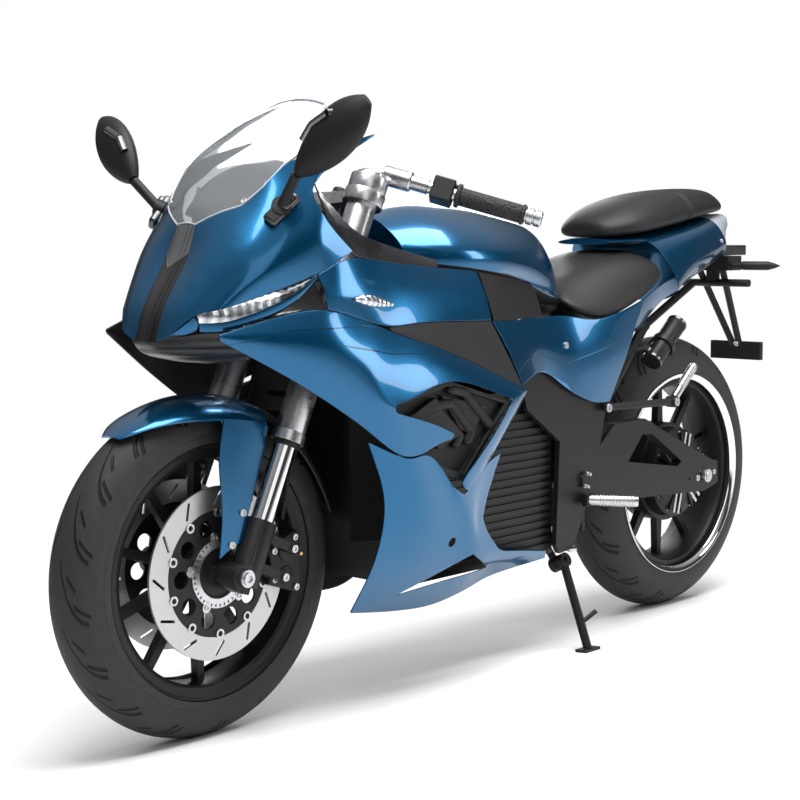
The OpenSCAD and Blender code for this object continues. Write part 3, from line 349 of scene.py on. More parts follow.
# %% [markdown]
# ## Tyres
# Road tread is cut into the rubber as long grooves that start along the crown and sweep out to the
# shoulder, with short slits between. On a wheel this is a pattern in two numbers: the turn round the
# hub and the share of the half width. So the shader turns the point into those two first.
# %% Rubber with tread
def tread(name, hub, radius, half_width, pitches):
    tyre = Finish(name, Specular_IOR_Level=0.25)
    x, y, z = tyre.split(tyre.upright(hub))
    squared = x * x + z * z
    out = squared.sum("SQRT", squared)
    share = abs(y) * (1 / half_width)
    turn = x.sum("ARCTAN2", z, x) * (pitches / math.tau) + (y > 0) * 0.5
    crown = out > radius - half_width * 0.98

    def groove(lead, width, low, high):
        off = abs((turn + lead).beyond_whole() - 0.5)
        return ((width - off) * (2.2 / width)).held() * (share > low) * (share < high)

    sweep = share * 2 - share * share
    cuts = groove(sweep * 1.5, 0.055, 0.16, 0.86)
    cuts = cuts.most(groove(share * 0.9 + 0.32, 0.045, 0.42, 0.66))
    cuts = cuts.most(groove(share * 0.7 + 0.72, 0.045, 0.6, 0.9)) * crown
    bead = ((0.0011 - abs(out - (radius - half_width * 1.02))) * 2000).held()
    dust = tyre.noise(60.0, 5.0)
    base = tyre.between(dust, (0.017, 0.017, 0.0175), (0.036, 0.036, 0.037))
    # Painted shade: the grooves are painted near black, darker than the rubber around them.
    tyre.feed("Base Color", tyre.between(cuts, base, (0.0015, 0.0015, 0.0015)))
    tyre.feed("Roughness", dust * 0.2 + 0.5)
    tyre.relief(bead * 0.3 - cuts + tyre.noise(1100.0, 2.0) * 0.04, 0.004, 1.0)
    return tyre


front_rubber = tread("front_rubber", front_hub, 0.293, 0.055, 17)
rear_rubber = tread("rear_rubber", rear_hub, 0.314, 0.07, 16)
print("tread cut on two tyres")

# %% [markdown]
# ## Soft and clear finishes
# Seat vinyl is a cell pattern with slow wrinkles over it, crossed by the pillion's two stitch lines. The
# grips have a coarser one. Lamp lenses
# are fluted over a bright bowl, and the windscreen is clear with a grey cast.
# %% Vinyl, grips and lenses
vinyl = Finish("seat_vinyl", Specular_IOR_Level=0.25)
cells = vinyl.add("ShaderNodeTexVoronoi", sockets={"Vector": vinyl.place(), "Scale": 520.0})
crumple = vinyl.noise(14.0, 3.0)
seat_x = vinyl.split(vinyl.upright())[0]
front_stitch, rear_stitch = ((1.6 - abs(seat_x - at / 1000) * 700).held() for at in seams_at)
stitch = front_stitch.most(rear_stitch)
vinyl.feed("Base Color", vinyl.between(cells, (0.007, 0.0066, 0.0065), (0.017, 0.016, 0.0158)))
vinyl.feed("Roughness", cells * 0.15 + crumple * 0.12 + 0.34)
vinyl.relief(cells * 0.25 + crumple - stitch * 4, 0.0012, 0.7)

grip_rubber = Finish("grip_rubber", Specular_IOR_Level=0.3)
knurl = grip_rubber.add("ShaderNodeTexVoronoi", sockets={"Vector": grip_rubber.place(), "Scale": 260.0})
grip_rubber.feed("Base Color", grip_rubber.between(knurl, (0.006, 0.006, 0.006), (0.03, 0.03, 0.03)))
grip_rubber.feed("Roughness", knurl * 0.3 + 0.45)
grip_rubber.relief(knurl, 0.002, 0.8)

clear = Finish("clear_screen", Transmission_Weight=0.8, Roughness=0.03, IOR=1.2)
tint = clear.noise(4.0, 1.0)
skim = clear.add("ShaderNodeLayerWeight", sockets={"Blend": 0.35}, out="Facing")
pane = clear.between(tint, (0.5, 0.52, 0.54), (0.58, 0.6, 0.62))
clear.feed("Base Color", clear.between(skim, pane, (0.28, 0.3, 0.32)))

lamp_glass = Finish("lamp_glass", Metallic=0.85, Coat_Weight=1.0, Coat_Roughness=0.02)
lamp_x = lamp_glass.split(lamp_glass.upright())[0]
flutes = abs((lamp_x * 75.0).beyond_whole() - 0.5) * 2
rear_end = ((1.372 - lamp_x) * 60).held() * (lamp_x > 1.29)
# Painted shade and painted highlight: each flute is darker in its hollow and brighter on its ridges.
bowl = lamp_glass.between(flutes, (0.3, 0.32, 0.35), (0.75, 0.77, 0.8))
lamp_glass.feed("Base Color", lamp_glass.between(rear_end, bowl, (0.02, 0.022, 0.025)))
lamp_glass.feed("Roughness", flutes * 0.15 + 0.06)
lamp_glass.relief(flutes, 0.003, 0.6)

tail_lens = Finish("tail_lens", Coat_Weight=1.0)
behind = tail_lens.split(tail_lens.facing())[0] < -0.7
prisms = tail_lens.noise(200.0, 1.0)
tail_lens.feed("Base Color", tail_lens.between(behind, (0.008, 0.008, 0.009), (0.2, 0.008, 0.008)))
tail_lens.feed("Roughness", prisms * 0.1 + 0.16)

finish_of_slot = {
    "blue_paint": blue, "black_plastic": moulded, "grey_trim": grey_trim, "pale_trim": pale_trim,
    "frame_paint": casting, "black_casting": casting, "silver_metal": silver, "chrome_leg": chrome,
    "disc_steel": ground_steel, "tyre": front_rubber, "grip_rubber": grip_rubber,
    "seat_cover": vinyl, "clear_lens": lamp_glass, "red_lens": tail_lens}
finish_of_node = {
    "windscreen": clear, "instrument_panel": gloss_black, "nose_insert": nose_strip,
    "chin_duct": slatted, "rear_tyre": rear_rubber, "rear_side_covers": cover_blue,
    "side_fairings": fairing_blue, "tail_cowl": tail_blue,
    "mirrors": moulded, "lamp_fillers": gloss_black, "cockpit_rails": gloss_black}


def paint(thing, finish):
    thing.data.materials.clear()
    thing.data.materials.append(finish.material)


for name, solid in nodes.items():
    paint(solid, finish_of_node.get(name, finish_of_slot[slot_of[name]]))
print("painted", len(nodes), "solids")


# %% [markdown]
# ## Edges of the hard pieces
# A sharp CAD edge catches no light. Machined and cast pieces get a small live bevel, which needs
# their loose triangles welded first. Both are modifiers, so the solids themselves stay as they are.
# %% Soft edges on castings and metal
def soften(solid, width, segments=2):
    weld = solid.modifiers.new("weld", "WELD")
    weld.merge_threshold = 1e-5
    bevel = solid.modifiers.new("bevel", "BEVEL")
    bevel.width = width
    bevel.segments = segments
    bevel.limit_method = "ANGLE"
    bevel.angle_limit = math.radians(38)
    bevel.harden_normals = False


edge_width = {"main_frame": 0.002, "swingarm": 0.003, "battery_case": 0.0015, "calipers": 0.003,
              "fork_feet": 0.002, "yokes": 0.0025, "handlebars": 0.001, "switchgear": 0.003,
              "grips": 0.002, "side_stand": 0.0015, "plate_hanger": 0.0015, "inner_panels": 0.001,
              "vent_louvres": 0.002, "rider_pegs": 0.0015, "passenger_pegs": 0.0015,
              "fork_tubes": 0.001, "front_rim": 0.0015, "rear_rim": 0.0015, "hub_motor": 0.002,
              "tail_lamp": 0.004, "rear_indicators": 0.001, "shock_reservoir": 0.003,
              "fairing_stay": 0.001, "subframe": 0.001, "front_axle": 0.001, "rear_axle": 0.001,
              "front_discs": 0.0006, "disc_carriers": 0.0008}
for name, width in edge_width.items():
    soften(nodes[name], width)
print("softened", len(edge_width), "solids")


# %% [markdown]
# ## Smooth bodywork
# The fairing solids are faceted along their control grids. A copy of each is merged, its triangles
# are paired back into the grid's quads, its rim gets a fine bevel, and a subdivision surface rounds
# the facets between, as the real mouldings are. The copy then replaces the solid in the picture.
# %% Fairing mouldings
def merged_copy(name):
    mesh = bmesh.new()
    mesh.from_mesh(nodes[name].data)
    bmesh.ops.remove_doubles(mesh, verts=mesh.verts, dist=2e-5)
    bmesh.ops.join_triangles(mesh, faces=mesh.faces, angle_face_threshold=math.radians(30),
                             angle_shape_threshold=math.radians(60))
    return mesh


def as_piece(mesh, label, body, finish):
    data = bpy.data.meshes.new(label)
    mesh.to_mesh(data)
    mesh.free()
    piece = bpy.data.objects.new(label, data)
    scene.collection.objects.link(piece)
    piece.data.shade_smooth()
    paint(piece, finish)
    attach(piece, body)
    return piece


def rounded(piece, levels):
    rounding = piece.modifiers.new("round", "SUBSURF")
    rounding.levels = levels
    rounding.render_levels = levels


def moulding(name, rim=0.0007, levels=2, corner=40.0):
    mesh = merged_copy(name)
    sharp = [e for e in mesh.edges if e.is_manifold and e.calc_face_angle() > math.radians(corner)]
    bmesh.ops.bevel(mesh, geom=sharp, offset=rim, segments=2, profile=0.5, affect="EDGES",
                    material=-1, clamp_overlap=True)
    finish = finish_of_node.get(name, finish_of_slot[slot_of[name]])
    piece = as_piece(mesh, name + "_moulding", body_of[name], finish)
    rounded(piece, levels)
    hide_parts(name)
    return piece


mouldings = ["upper_cowl", "nose_insert", "headlamps", "chin_duct", "windscreen", "instrument_panel",
             "mirrors", "front_indicators", "mid_panels", "lamp_fillers", "cockpit_rails",
             "side_fairings", "side_inserts", "lower_fairings", "tank_cover", "knee_pads",
             "rear_side_covers", "tail_cowl", "tail_cap", "front_fender", "fender_flap"]
shaped = {name: moulding(name) for name in mouldings}
print("smoothed", len(shaped), "mouldings")

# %% [markdown]
# ## Seats
# Both seats are foam under stretched vinyl. Each pad starts from its solid, smoothed and remeshed to
# even squares. A short cloth run with pressure inside then makes it swell, and each point's travel is
# capped, so that the pad stays clear of the tank and the tail. The pillion's double seam is pressed
# in afterwards, because a remesh would wipe it out.
# %% Padded seats
def applied(thing):
    graph = bpy.context.evaluated_depsgraph_get()
    data = bpy.data.meshes.new_from_object(thing.evaluated_get(graph))
    thing.modifiers.clear()
    thing.data = data


def swell(pad, pressure=4.0, cap=0.005, frames=20):
    """Blow the pad up as cloth and keep at most cap of each point's travel, none underneath."""
    before = [v.co.copy() for v in pad.data.vertices]
    cloth = pad.modifiers.new("cloth", "CLOTH")
    cloth.settings.use_pressure = True
    cloth.settings.uniform_pressure_force = pressure
    cloth.settings.effector_weights.gravity = 0.0
    for step in range(1, frames + 1):
        scene.frame_set(step)
    applied(pad)
    scene.frame_set(1)
    floor_of_pad = min(co.z for co in before)
    height = max(co.z for co in before) - floor_of_pad
    for vertex, start in zip(pad.data.vertices, before):
        travel = vertex.co - start
        free = min(1.0, max(0.0, (start.z - floor_of_pad) / height * 2 - 0.8))
        vertex.co = start + travel.normalized() * min(travel.length, cap) * free


def upholster(name, seams=()):
    pad = as_piece(merged_copy(name), name + "_pad", body_of[name], vinyl)
    rounded(pad, 2)
    applied(pad)
    squares = pad.modifiers.new("squares", "REMESH")
    squares.mode = "VOXEL"
    squares.voxel_size = 0.005
    applied(pad)
    swell(pad)
    mesh = bmesh.new()
    mesh.from_mesh(pad.data)
    bmesh.ops.smooth_vert(mesh, verts=mesh.verts, factor=0.5, use_axis_x=True, use_axis_y=True,
                          use_axis_z=True)
    bmesh.ops.subdivide_edges(mesh, edges=mesh.edges, cuts=1, use_grid_fill=True, smooth=1.0)
    mesh.normal_update()
    flat = upright.inverted()
    for vertex in mesh.verts:
        x = (flat @ vertex.co).x
        press = sum(depth * math.exp(-((x - at) / width) ** 2) for at, width, depth in seams)
        vertex.co -= vertex.normal * press
    mesh.to_mesh(pad.data)
    mesh.free()
    pad.data.shade_smooth()
    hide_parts(name)
    return pad


rider_pad = upholster("rider_seat")
pillion_pad = upholster("pillion_seat", [(at, 2.6, 0.004) for at in seams_at])
print("seats have", len(rider_pad.data.polygons), "and", len(pillion_pad.data.polygons), "faces")


# %% [markdown]
# ## Small fittings
# Bolts, rods and turned rings are the vocabulary of everything that follows. A bolt is a drum whose
# top is inset and pushed in for its socket. A turned piece is a profile spun about its own z axis.
# `surface_of` asks a solid where its skin is, so that each bolt sits on what carries it.
# %% Bolts, rods and turned pieces
def towards(at, axis):
    return Matrix.Translation(at) @ Vector(axis).to_track_quat("Z", "Y").to_matrix().to_4x4()


def rod(mesh, start, end, radius, end_radius=None, segments=24):
    start, end = Vector(start), Vector(end)
    made = bmesh.ops.create_cone(
        mesh, cap_ends=True, segments=segments, radius1=radius,
        radius2=radius if end_radius is None else end_radius, depth=(end - start).length,
        matrix=towards((start + end) / 2, end - start))
    return made["verts"]


def bolt(mesh, at, axis, radius, height=None, sides=24):
    axis = Vector(axis).normalized()
    top_at = Vector(at) + axis * (height or radius * 0.7)
    drum = rod(mesh, Vector(at) - axis * 2, top_at, radius, segments=sides)
    top = min({f for v in drum for f in v.link_faces if len(f.verts) == sides},
              key=lambda f: (f.calc_center_median() - top_at).length)
    bmesh.ops.inset_region(mesh, faces=[top], thickness=radius * 0.42, use_even_offset=True)
    bmesh.ops.inset_region(mesh, faces=[top], thickness=radius * 0.08, depth=-radius * 0.35)


def turned(mesh, profile, at, axis, steps=64):
    points = [mesh.verts.new((r, 0, h)) for r, h in profile]
    edges = [mesh.edges.new(pair) for pair in zip(points, points[1:])]
    made = bmesh.ops.spin(mesh, geom=points + edges, cent=(0, 0, 0), axis=(0, 0, 1),
                          angle=math.tau, steps=steps, use_merge=True)
    fresh = {v for g in made["geom_last"] for v in (g.verts if hasattr(g, "verts") else [g])}
    reach = set(points) | fresh
    grown = True
    while grown:
        near = {e.other_vert(v) for v in reach for e in v.link_edges}
        grown = not near <= reach
        reach |= near
    bmesh.ops.transform(mesh, matrix=towards(at, axis), verts=list(reach))


def on_ring(radius, face, degrees):
    """A point on a wheel's side: radius and turn about the hub, face across it."""
    turn = math.radians(degrees)
    return Vector((radius * math.cos(turn), face, radius * math.sin(turn)))


def block(mesh, centre, size, turn=Matrix.Identity(4)):
    sized = Matrix.Diagonal((*size, 1.0))
    return bmesh.ops.create_cube(mesh, size=1.0, matrix=Matrix.Translation(centre) @ turn @ sized)["verts"]


def fitted(mesh, label, body, finish, place=upright, edge=0.0004):
    bmesh.ops.remove_doubles(mesh, verts=mesh.verts, dist=0.005)
    bmesh.ops.recalc_face_normals(mesh, faces=mesh.faces)
    bmesh.ops.transform(mesh, matrix=place, verts=mesh.verts)
    piece = as_piece(mesh, label, body, finish)
    piece.data.set_sharp_from_angle(angle=math.radians(35))
    if edge:
        bevel = piece.modifiers.new("edges", "BEVEL")
        bevel.width = edge
        bevel.segments = 2
        bevel.limit_method = "ANGLE"
        bevel.angle_limit = math.radians(40)
    return piece


skins = {}


def surface_of(name, near, place=upright):
    """Nearest skin point of a solid and the way out of it, in the drawing frame."""
    if name not in skins:
        mesh = merged_copy(name)
        skins[name] = BVHTree.FromBMesh(mesh)
        mesh.free()
    back = place.inverted()
    at, out, _, _ = skins[name].find_nearest(place @ Vector(near))
    return back @ at, (back.to_3x3() @ out).normalized()


both_sides = (1, -1)
print("fittings ready")

# %% [markdown]
# ## Front wheel fittings
# Bright buttons let each disc float on its black carrier, and sit on the joint between the two. A few
# bolts hold the sensor ring, and a black lip closes each edge of the rim.
# %% Disc buttons, sensor ring bolts and rim lips
disc_face, button_ring, sensor_ring = 60.2, 105, 63
boss_height = 2.3
buttons = bmesh.new()
for side in both_sides:
    for k in range(10):
        at = front_hub + on_ring(button_ring, side * disc_face, 36 * k + 18)
        bolt(buttons, at, (0, side, 0), 8.5, 2.6)
for k in range(5):
    spot = front_hub + on_ring(sensor_ring, disc_face + 0.1, 72 * k + 10)
    top = spot + Vector((0, boss_height, 0))
    rod(buttons, spot, top, 9)
    bolt(buttons, top, (0, 1, 0), 4.5, 2.2)
fitted(buttons, "disc_buttons", "front_wheel", silver)

lips = bmesh.new()
for side in both_sides:
    turned(lips, [(196, 38), (206, 40.2), (214, 41.4), (219, 44), (221.5, 48)], front_hub, (0, side, 0), 96)
front_lips = fitted(lips, "front_rim_lips", "front_wheel", casting, edge=0)
shell = front_lips.modifiers.new("wall", "SOLIDIFY")
shell.thickness = 0.002
print("front wheel dressed")

# %% [markdown]
# ## Rear wheel fittings
# The rear rim has a polished lip that curls out over the tyre's bead, and the motor cover carries
# pairs of bright bars and a ring of small bolts.
# %% Rim lips and motor bars
curl = [(216.5, 61), (218.5, 64.5), (221, 66.4), (223, 68.6), (226, 69.6), (229, 70.6), (231, 71.4)]
motor_face, bar_ring, cover_face, bolt_ring = 70.5, 70, 60.5, 93
lips = bmesh.new()
for side in both_sides:
    turned(lips, curl, rear_hub, (0, side, 0), 128)
rear_lips = fitted(lips, "rear_rim_lips", "rear_wheel", chrome, edge=0)
shell = rear_lips.modifiers.new("wall", "SOLIDIFY")
shell.thickness = 0.0016
shell.offset = 0.0
rounded(rear_lips, 1)

bars = bmesh.new()
for side in both_sides:
    for k in range(6):
        for offset in (-9, 9):
            turn = Matrix.Rotation(math.radians(60 * k + 15), 4, "Y")
            centre = rear_hub + turn @ Vector((bar_ring, side * motor_face, offset))
            block(bars, centre, (48, 2.4, 7), turn)
    for k in range(12):
        at = rear_hub + on_ring(bolt_ring, side * cover_face, 30 * k)
        bolt(bars, at, (0, side, 0), 3.6, 3)
fitted(bars, "motor_bars", "rear_wheel", silver)
print("rear wheel dressed")

# %% [markdown]
# ## Fork fittings
# In the fork's own frame: a bright collar and a dark wiper where each leg slides into its tube, caps
# on the tubes, bolts of the axle, the fender and the calipers, and the calipers' piston covers.
# %% Collars, caps, piston covers and bolts
leg_x, leg_y = -22, 100
caliper_face, piston_ring = 83.7, 137
collars, wipers, covers, screws, nipples = (bmesh.new() for _ in range(5))
for side in both_sides:
    low = Vector((leg_x, side * leg_y, 0))
    up = Vector((0, 0, 1))
    turned(collars, [(27.1, 268), (29.5, 267), (29.5, 249), (22, 248.4)], low, up)
    turned(collars, [(27.1, 452), (28.4, 451), (28.4, 441), (27.1, 440)], low, up)
    turned(collars, [(0, 764), (9, 764), (11, 762), (24, 762), (26.4, 759.5), (26.4, 757)], low, up)
    turned(wipers, [(22, 248.4), (25, 247.5), (24, 242), (20.7, 240)], low, up)
    bolt(screws, low + Vector((-leg_x, side * 36.4, 0)), (0, side, 0), 11, 4)
    for turn in (146, 164):
        at = on_ring(piston_ring, side * caliper_face, turn)
        turned(covers, [(0, 3.2), (12, 3.2), (14, 2), (17, 2), (18, 0)], at, (0, side, 0), 32)
    for radius, turn in ((161, 139), (163, 171), (108, 141), (108, 168)):
        at = on_ring(radius, side * caliper_face, turn)
        bolt(screws, at, (0, side, 0), 6, 5)
    at = Vector((-143, side * caliper_face, 82))
    rod(nipples, at, at + Vector((0, side * 9, 0)), 3.4)
    for z in (30, 82):
        bolt(screws, (leg_x - 84, side * (leg_y + 8), z), (0, side, 0), 7, 5)
    for x, z in ((1376, 399), (1404, 347)):
        near = Vector((x, side * 130, z))
        at, out = surface_of("front_fender", near)
        to_fork = fork.inverted() @ upright
        bolt(screws, to_fork @ at, to_fork.to_3x3() @ out, 6.5, 3)
fitted(collars, "fork_collars", "steering", silver, fork)
fitted(wipers, "fork_wipers", "steering", moulded, fork, edge=0)
fitted(covers, "caliper_covers", "steering", casting, fork, edge=0)
fitted(screws, "fork_screws", "steering", silver, fork)
fitted(nipples, "bleed_nipples", "steering", brass, fork)
print("fork dressed")

# %% [markdown]
# ## Bars and cockpit
# Each bar leaves its clamp in a thick sleeve and ends in a grooved weight. Each switch housing gets a
# few push buttons, each grip a flange, and the steering stem a lock barrel.
# %% Bar ends, sleeves, flanges, buttons and lock
sleeve = [(11.2, 4), (17.5, 5), (18.5, 7), (18.5, 54), (17, 56), (13.5, 57), (13.5, 88), (11.2, 89)]
bar_root, bar_tip = Vector((-38, 108, 770)), Vector((-219, 348, 761))
weights, sleeves, flanges, pushes, lock = (bmesh.new() for _ in range(5))
for side in both_sides:
    flip = Matrix.Diagonal((1, side, 1, 1))
    root, tip = flip @ bar_root, flip @ bar_tip
    along = (tip - root).normalized()
    length = (tip - root).length
    turned(weights, [(11.2, length - 28), (15, length - 27), (15, length - 17), (12.4, length - 16),
                     (12.4, length - 13), (14.5, length - 12), (14.5, length - 2), (12, length),
                     (0, length)], root, along, 40)
    turned(sleeves, sleeve, root, along, 40)
    turned(flanges, [(16.6, 149), (22, 148), (22, 142), (16.6, 141)], root, along, 40)
    turned(flanges, [(16.6, length - 32), (18.5, length - 33), (18.5, length - 37), (16.6, length - 38)],
           root, along, 40)
    for step in (106, 118, 127):
        at, out = surface_of("switchgear", root + along * step + Vector((-60, 0, 30)), fork)
        bolt(pushes, at, out, 4.5, 3)
turned(lock, [(0, 12), (9, 12), (10, 10), (13, 10), (14, 8), (14, 0)], (-52, 0, 738), (0, 0, 1), 40)
fitted(weights, "bar_weights", "steering", silver, fork)
fitted(sleeves, "bar_sleeves", "steering", silver, fork, edge=0)
fitted(flanges, "grip_flanges", "steering", grip_rubber, fork, edge=0)
fitted(pushes, "switch_buttons", "steering", grey_trim, fork)
fitted(lock, "steering_lock", "steering", casting, fork, edge=0)
print("bars dressed")

# %% [markdown]
# ## Screen edge
# A clear screen shows mostly by its edge, where light gathers. The sharp edges of a copy of the screen
# are its rim, and a thin pale rod laid along each of them is a painted highlight of that edge.
# %% Painted highlight round the windscreen
pane_mesh = merged_copy("windscreen")
rim = [e for e in pane_mesh.edges if e.is_manifold and e.calc_face_angle() > math.radians(45)]
# Painted highlight: pale rods laid along the screen's rim, where light gathers in the edge.
bead = bmesh.new()
flat = upright.inverted()
for edge in rim:
    rod(bead, flat @ edge.verts[0].co, flat @ edge.verts[1].co, 1.7, segments=10)
pane_mesh.free()
fitted(bead, "screen_edge_highlight", "chassis", pale_trim, edge=0)
print("screen bead of", len(rim), "rods")

# %% [markdown]
# ## Nose corners
# Between the nose strip and each lamp the cowl turns under in a small blue corner. Its two edges are
# known, the cowl's lower edge and the duct's upper edge, so two chains of points are bridged.
# %% Corners under the lamps
corners = bmesh.new()
cowl_edge = [(1500.5, 27, 693), (1499.5, 42.5, 697.5), (1497.5, 57.7, 703), (1491.7, 71.2, 712.6),
             (1482.6, 83, 726), (1470, 97, 737)]
duct_edge = [(1499, 29, 691.5), (1490, 50, 696), (1481.5, 68, 700.5), (1473, 83, 704.5),
             (1464.5, 96, 709), (1466, 98, 722)]
for side in both_sides:
    chains = [[corners.verts.new((x, side * y, z)) for x, y, z in edge] for edge in (cowl_edge, duct_edge)]
    edges = [corners.edges.new(pair) for chain in chains for pair in zip(chain, chain[1:])]
    bmesh.ops.bridge_loops(corners, edges=edges)
nose_corners = fitted(corners, "nose_corners", "chassis", blue, edge=0)
shell = nose_corners.modifiers.new("wall", "SOLIDIFY")
shell.thickness = 0.0015
shell.offset = 0.0
rounded(nose_corners, 1)
print("nose corners have", len(nose_corners.data.polygons), "faces")

# %% [markdown]
# ## Mirror bases and lamps
# Each stalk stands on a long glossy foot that lies on the cowl, and each housing carries a clear
# strip lamp along its front edge. Both are laid on the skins that carry them.
# %% Mirror feet and strip lamps
lamp_line = [(1350, 235, 1016), (1343, 255, 1036), (1333, 285, 1049), (1322, 315, 1062)]
lamp_r = 7.0
feet, strips = bmesh.new(), bmesh.new()
for side in both_sides:
    flip = Matrix.Diagonal((1, side, 1, 1))
    at, out = surface_of("upper_cowl", flip @ Vector((1365, 200, 930)))
    long = Vector((52, side * -8, -40))
    long = (long - out * long.dot(out)).normalized()
    turn = Matrix((long, out.cross(long), out)).transposed().to_4x4()
    block(feet, at + out * 6, (70, 26, 15), turn)
    block(feet, at + out * 14 - long * 14, (34, 22, 16), turn)
    line = [surface_of("mirrors", flip @ Vector(p))[0] for p in lamp_line]
    for start, end in zip(line, line[1:]):
        rod(strips, start, end, lamp_r, segments=16)
fitted(feet, "mirror_feet", "chassis", gloss_black, edge=0.005)
fitted(strips, "mirror_lamps", "chassis", lamp_glass, edge=0)
print("mirrors dressed")

# %% [markdown]
# ## Louvres and seat tray
# Three bent blades stand in each vent. Under the seats a black tray with a
# splash plate ahead of the rear wheel closes the middle of the machine, so that no daylight shows
# between the covers.
# %% Vent blades and tray
blade_y, blade_r = 211, 10
blades = bmesh.new()
for side in both_sides:
    for bend in (((1025, 559), (972, 560), (917, 505), (927, 489)), ((972, 586), (937, 579), (865, 513)),
                 ((1041, 543), (1007, 549), (949, 499), (959, 486))):
        line = [Vector((x, side * blade_y, z)) for x, z in bend]
        for start, end in zip(line, line[1:]):
            rod(blades, start, end, blade_r, segments=16)
        for spot in line:
            bmesh.ops.create_icosphere(blades, subdivisions=2, radius=blade_r,
                                       matrix=Matrix.Translation(spot))
fitted(blades, "vent_blades", "chassis", moulded, edge=0)

tray = bmesh.new()
outline = [tray.verts.new((x, -3, z)) for x, z in
           ((830, 558), (830, 690), (520, 684), (330, 690), (180, 745), (150, 705), (420, 566), (560, 558))]
sheet = tray.faces.new(outline)
grown = bmesh.ops.extrude_face_region(tray, geom=[sheet])["geom"]
bmesh.ops.translate(tray, vec=(0, 6, 0), verts=[v for v in grown if isinstance(v, bmesh.types.BMVert)])
block(tray, (405, 0, 390), (10, 180, 310))
block(tray, (600, 0, 652), (200, 210, 6))
fitted(tray, "seat_tray", "chassis", moulded)
print("vents and tray ready")

# %% [markdown]
# ## Bolts of the chassis
# Each bolt is asked for near a point and then sits on the nearest skin of the piece it holds.
# %% Body bolts
body_bolts = bmesh.new()
bolt_list = [
    ("rear_side_covers", (556, 190, 646), 7), ("inner_panels", (1196, 190, 487), 6),
    ("inner_panels", (1128, 190, 473), 6), ("main_frame", (480, 190, 382), 9),
    ("main_frame", (492, 190, 337), 9), ("swingarm", (28, 170, 311), 7),
    ("swingarm", (-40, 170, 318), 6), ("windscreen", (1322, 118, 946), 5),
    ("windscreen", (1372, 100, 930), 5), ("subframe", (425, 200, 505), 9),
    ("subframe", (188, 210, 500), 9), ("subframe", (224, 170, 590), 7),
    ("tail_cowl", (-150, 110, 850), 5)]
for side in both_sides:
    for name, (x, y, z), radius in bolt_list:
        at, out = surface_of(name, (x, side * y, z))
        bolt(body_bolts, at, out, radius, radius * 0.45)
at, out = surface_of("plate_hanger", (-300, 0, 577))
bolt(body_bolts, at, out, 7, 3)
fitted(body_bolts, "body_bolts", "chassis", silver)
print("bolted")

# %% [markdown]
# ## Pegs and canisters
# The pegs are ribbed so that a boot can't slip. Rings round the rod do that, with a black clevis at
# the root. The canisters get a cap ring at each end.
# %% Peg ribs, clevises and canister caps
ribs, clevises, caps = (bmesh.new() for _ in range(3))
for side in both_sides:
    flip = Matrix.Diagonal((1, side, 1, 1))
    for start, end, radius, count in (((492, 157.8, 320), (420, 240, 316), 11, 11),
                                      ((178, 166, 511), (106, 168, 574), 9, 12)):
        start, end = flip @ Vector(start), flip @ Vector(end)
        way = (end - start).normalized()
        length = (end - start).length
        for k in range(count):
            h = length * (0.3 + 0.66 * k / count)
            turned(ribs, [(radius - 0.2, h - 1.9), (radius + 1.4, h - 1.2), (radius + 1.4, h + 1.2),
                          (radius - 0.2, h + 1.9)], start, way, 24)
    block(clevises, flip @ Vector((488, 164, 320)), (26, 14, 26))
    top, bottom = flip @ Vector((116, 130, 668)), flip @ Vector((222, 134, 588))
    way = (top - bottom).normalized()
    length = (top - bottom).length
    for h in (0, length - 8):
        turned(caps, [(21, h), (22.8, h + 1), (22.8, h + 7), (21, h + 8)], bottom, way, 40)
fitted(ribs, "peg_ribs", "chassis", silver, edge=0)
fitted(clevises, "peg_clevises", "chassis", casting, edge=0.002)
fitted(caps, "canister_caps", "chassis", gloss_black, edge=0)
print("pegs ribbed")

# %% [markdown]
# ## Side stand fittings
# A bright pivot bolt holds the stand.
# %% Stand bolt
stand_bolt = bmesh.new()
at, out = surface_of("main_frame", (524, 170, 200))
bolt(stand_bolt, at, out, 11, 4)
fitted(stand_bolt, "stand_bolt", "chassis", silver)
print("stand dressed")

# %% [markdown]
# ## Floor and light
# A pale floor and a big soft lamp overhead give the long highlights of a studio. Far from the machine
# the floor fades to white for the camera, so that no horizon shows. The world is white for the camera
# and for glass. For everything else it is a sky that darkens towards the horizon, as a studio does,
# so that the lacquer keeps its dark parts.
# %% Studio
floor_mesh = bmesh.new()
bmesh.ops.create_grid(floor_mesh, x_segments=1, y_segments=1, size=14.0)
floor_data = bpy.data.meshes.new("floor")
floor_mesh.to_mesh(floor_data)
floor_mesh.free()
floor = bpy.data.objects.new("floor", floor_data)
scene.collection.objects.link(floor)
floor_paint = Finish("floor_paint", Base_Color=(0.9, 0.9, 0.905), Roughness=0.6)
floor_x, floor_y, _ = floor_paint.split(floor_paint.place())
floor_squared = floor_x * floor_x + floor_y * floor_y
far = ((floor_squared.sum("SQRT", floor_squared) - 1.0) * 0.6).held()
seen = floor_paint.add("ShaderNodeLightPath", out="Is Camera Ray")
white = floor_paint.add("ShaderNodeEmission")
shade = Wire(floor_paint, floor_paint.shader.outputs[0])
mixed = floor_paint.add("ShaderNodeMixShader", sockets={0: far * seen, 1: shade, 2: white})
floor_paint.plug(floor_paint.tree.nodes["Material Output"].inputs["Surface"], mixed)
paint(floor, floor_paint)


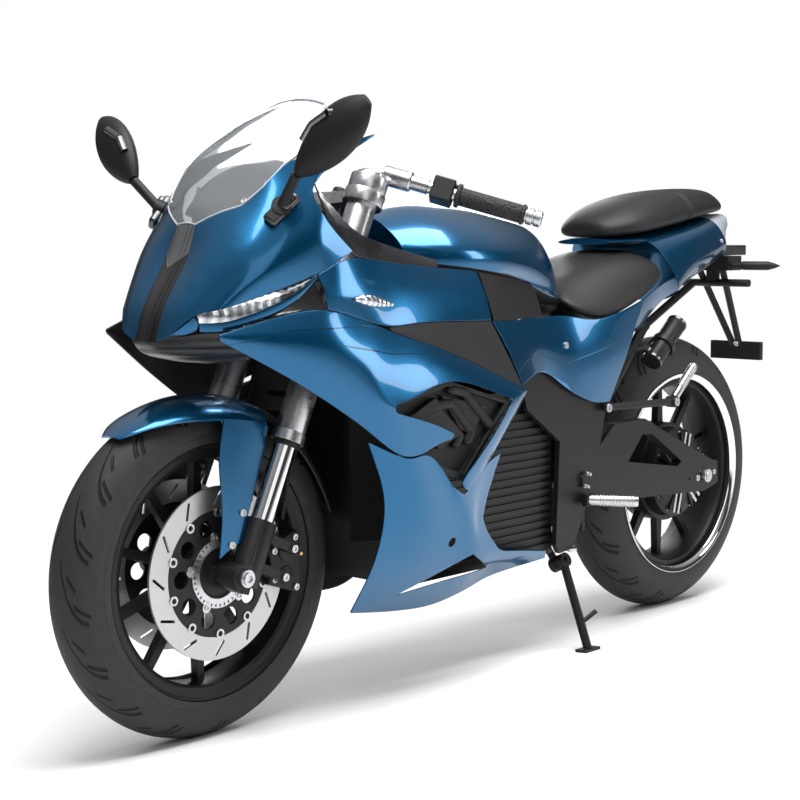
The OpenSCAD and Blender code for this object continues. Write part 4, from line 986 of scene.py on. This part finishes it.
def softbox(name, place, aim, size, watts):
    lamp = bpy.data.lights.new(name, "AREA")
    lamp.shape = "RECTANGLE"
    lamp.size, lamp.size_y = size
    lamp.energy = watts
    holder = bpy.data.objects.new(name, lamp)
    turn = (Vector(aim) - Vector(place)).to_track_quat("-Z", "Y")
    holder.matrix_world = Matrix.Translation(place) @ turn.to_matrix().to_4x4()
    scene.collection.objects.link(holder)


softbox("overhead", (0.3, 0.9, 3.2), (0.1, 0.0, 0.5), (3.4, 1.6), 180.0)
softbox("left_front", (2.6, 3.6, 2.4), (0.2, 0.0, 0.6), (2.4, 2.4), 22.0)
softbox("left_rear", (-2.6, 3.0, 1.6), (-0.2, 0.0, 0.6), (0.7, 1.8), 30.0)
softbox("right_rear", (-2.6, -2.6, 2.2), (0.0, 0.0, 0.6), (1.6, 1.6), 40.0)

world = bpy.data.worlds.new("studio")
world.use_nodes = True
scene.world = world
back = world.node_tree.nodes["Background"]
back.inputs["Color"].default_value = (1.0, 1.0, 1.0, 1.0)
path = world.node_tree.nodes.new("ShaderNodeLightPath")
through = world.node_tree.nodes.new("ShaderNodeMath")
through.operation = "MAXIMUM"
world.node_tree.links.new(path.outputs["Is Camera Ray"], through.inputs[0])
world.node_tree.links.new(path.outputs["Is Transmission Ray"], through.inputs[1])
way = world.node_tree.nodes.new("ShaderNodeTexCoord")
height = world.node_tree.nodes.new("ShaderNodeSeparateXYZ")
world.node_tree.links.new(way.outputs["Generated"], height.inputs["Vector"])
sky = world.node_tree.nodes.new("ShaderNodeMapRange")
sky.inputs["From Min"].default_value = 0.3
sky.inputs["To Min"].default_value = 0.06
sky.inputs["To Max"].default_value = 0.9
world.node_tree.links.new(height.outputs["Z"], sky.inputs["Value"])
dim = world.node_tree.nodes.new("ShaderNodeMapRange")
dim.inputs["To Max"].default_value = 1.0
world.node_tree.links.new(through.outputs[0], dim.inputs["Value"])
world.node_tree.links.new(sky.outputs["Result"], dim.inputs["To Min"])
world.node_tree.links.new(dim.outputs["Result"], back.inputs["Strength"])
print("studio ready")
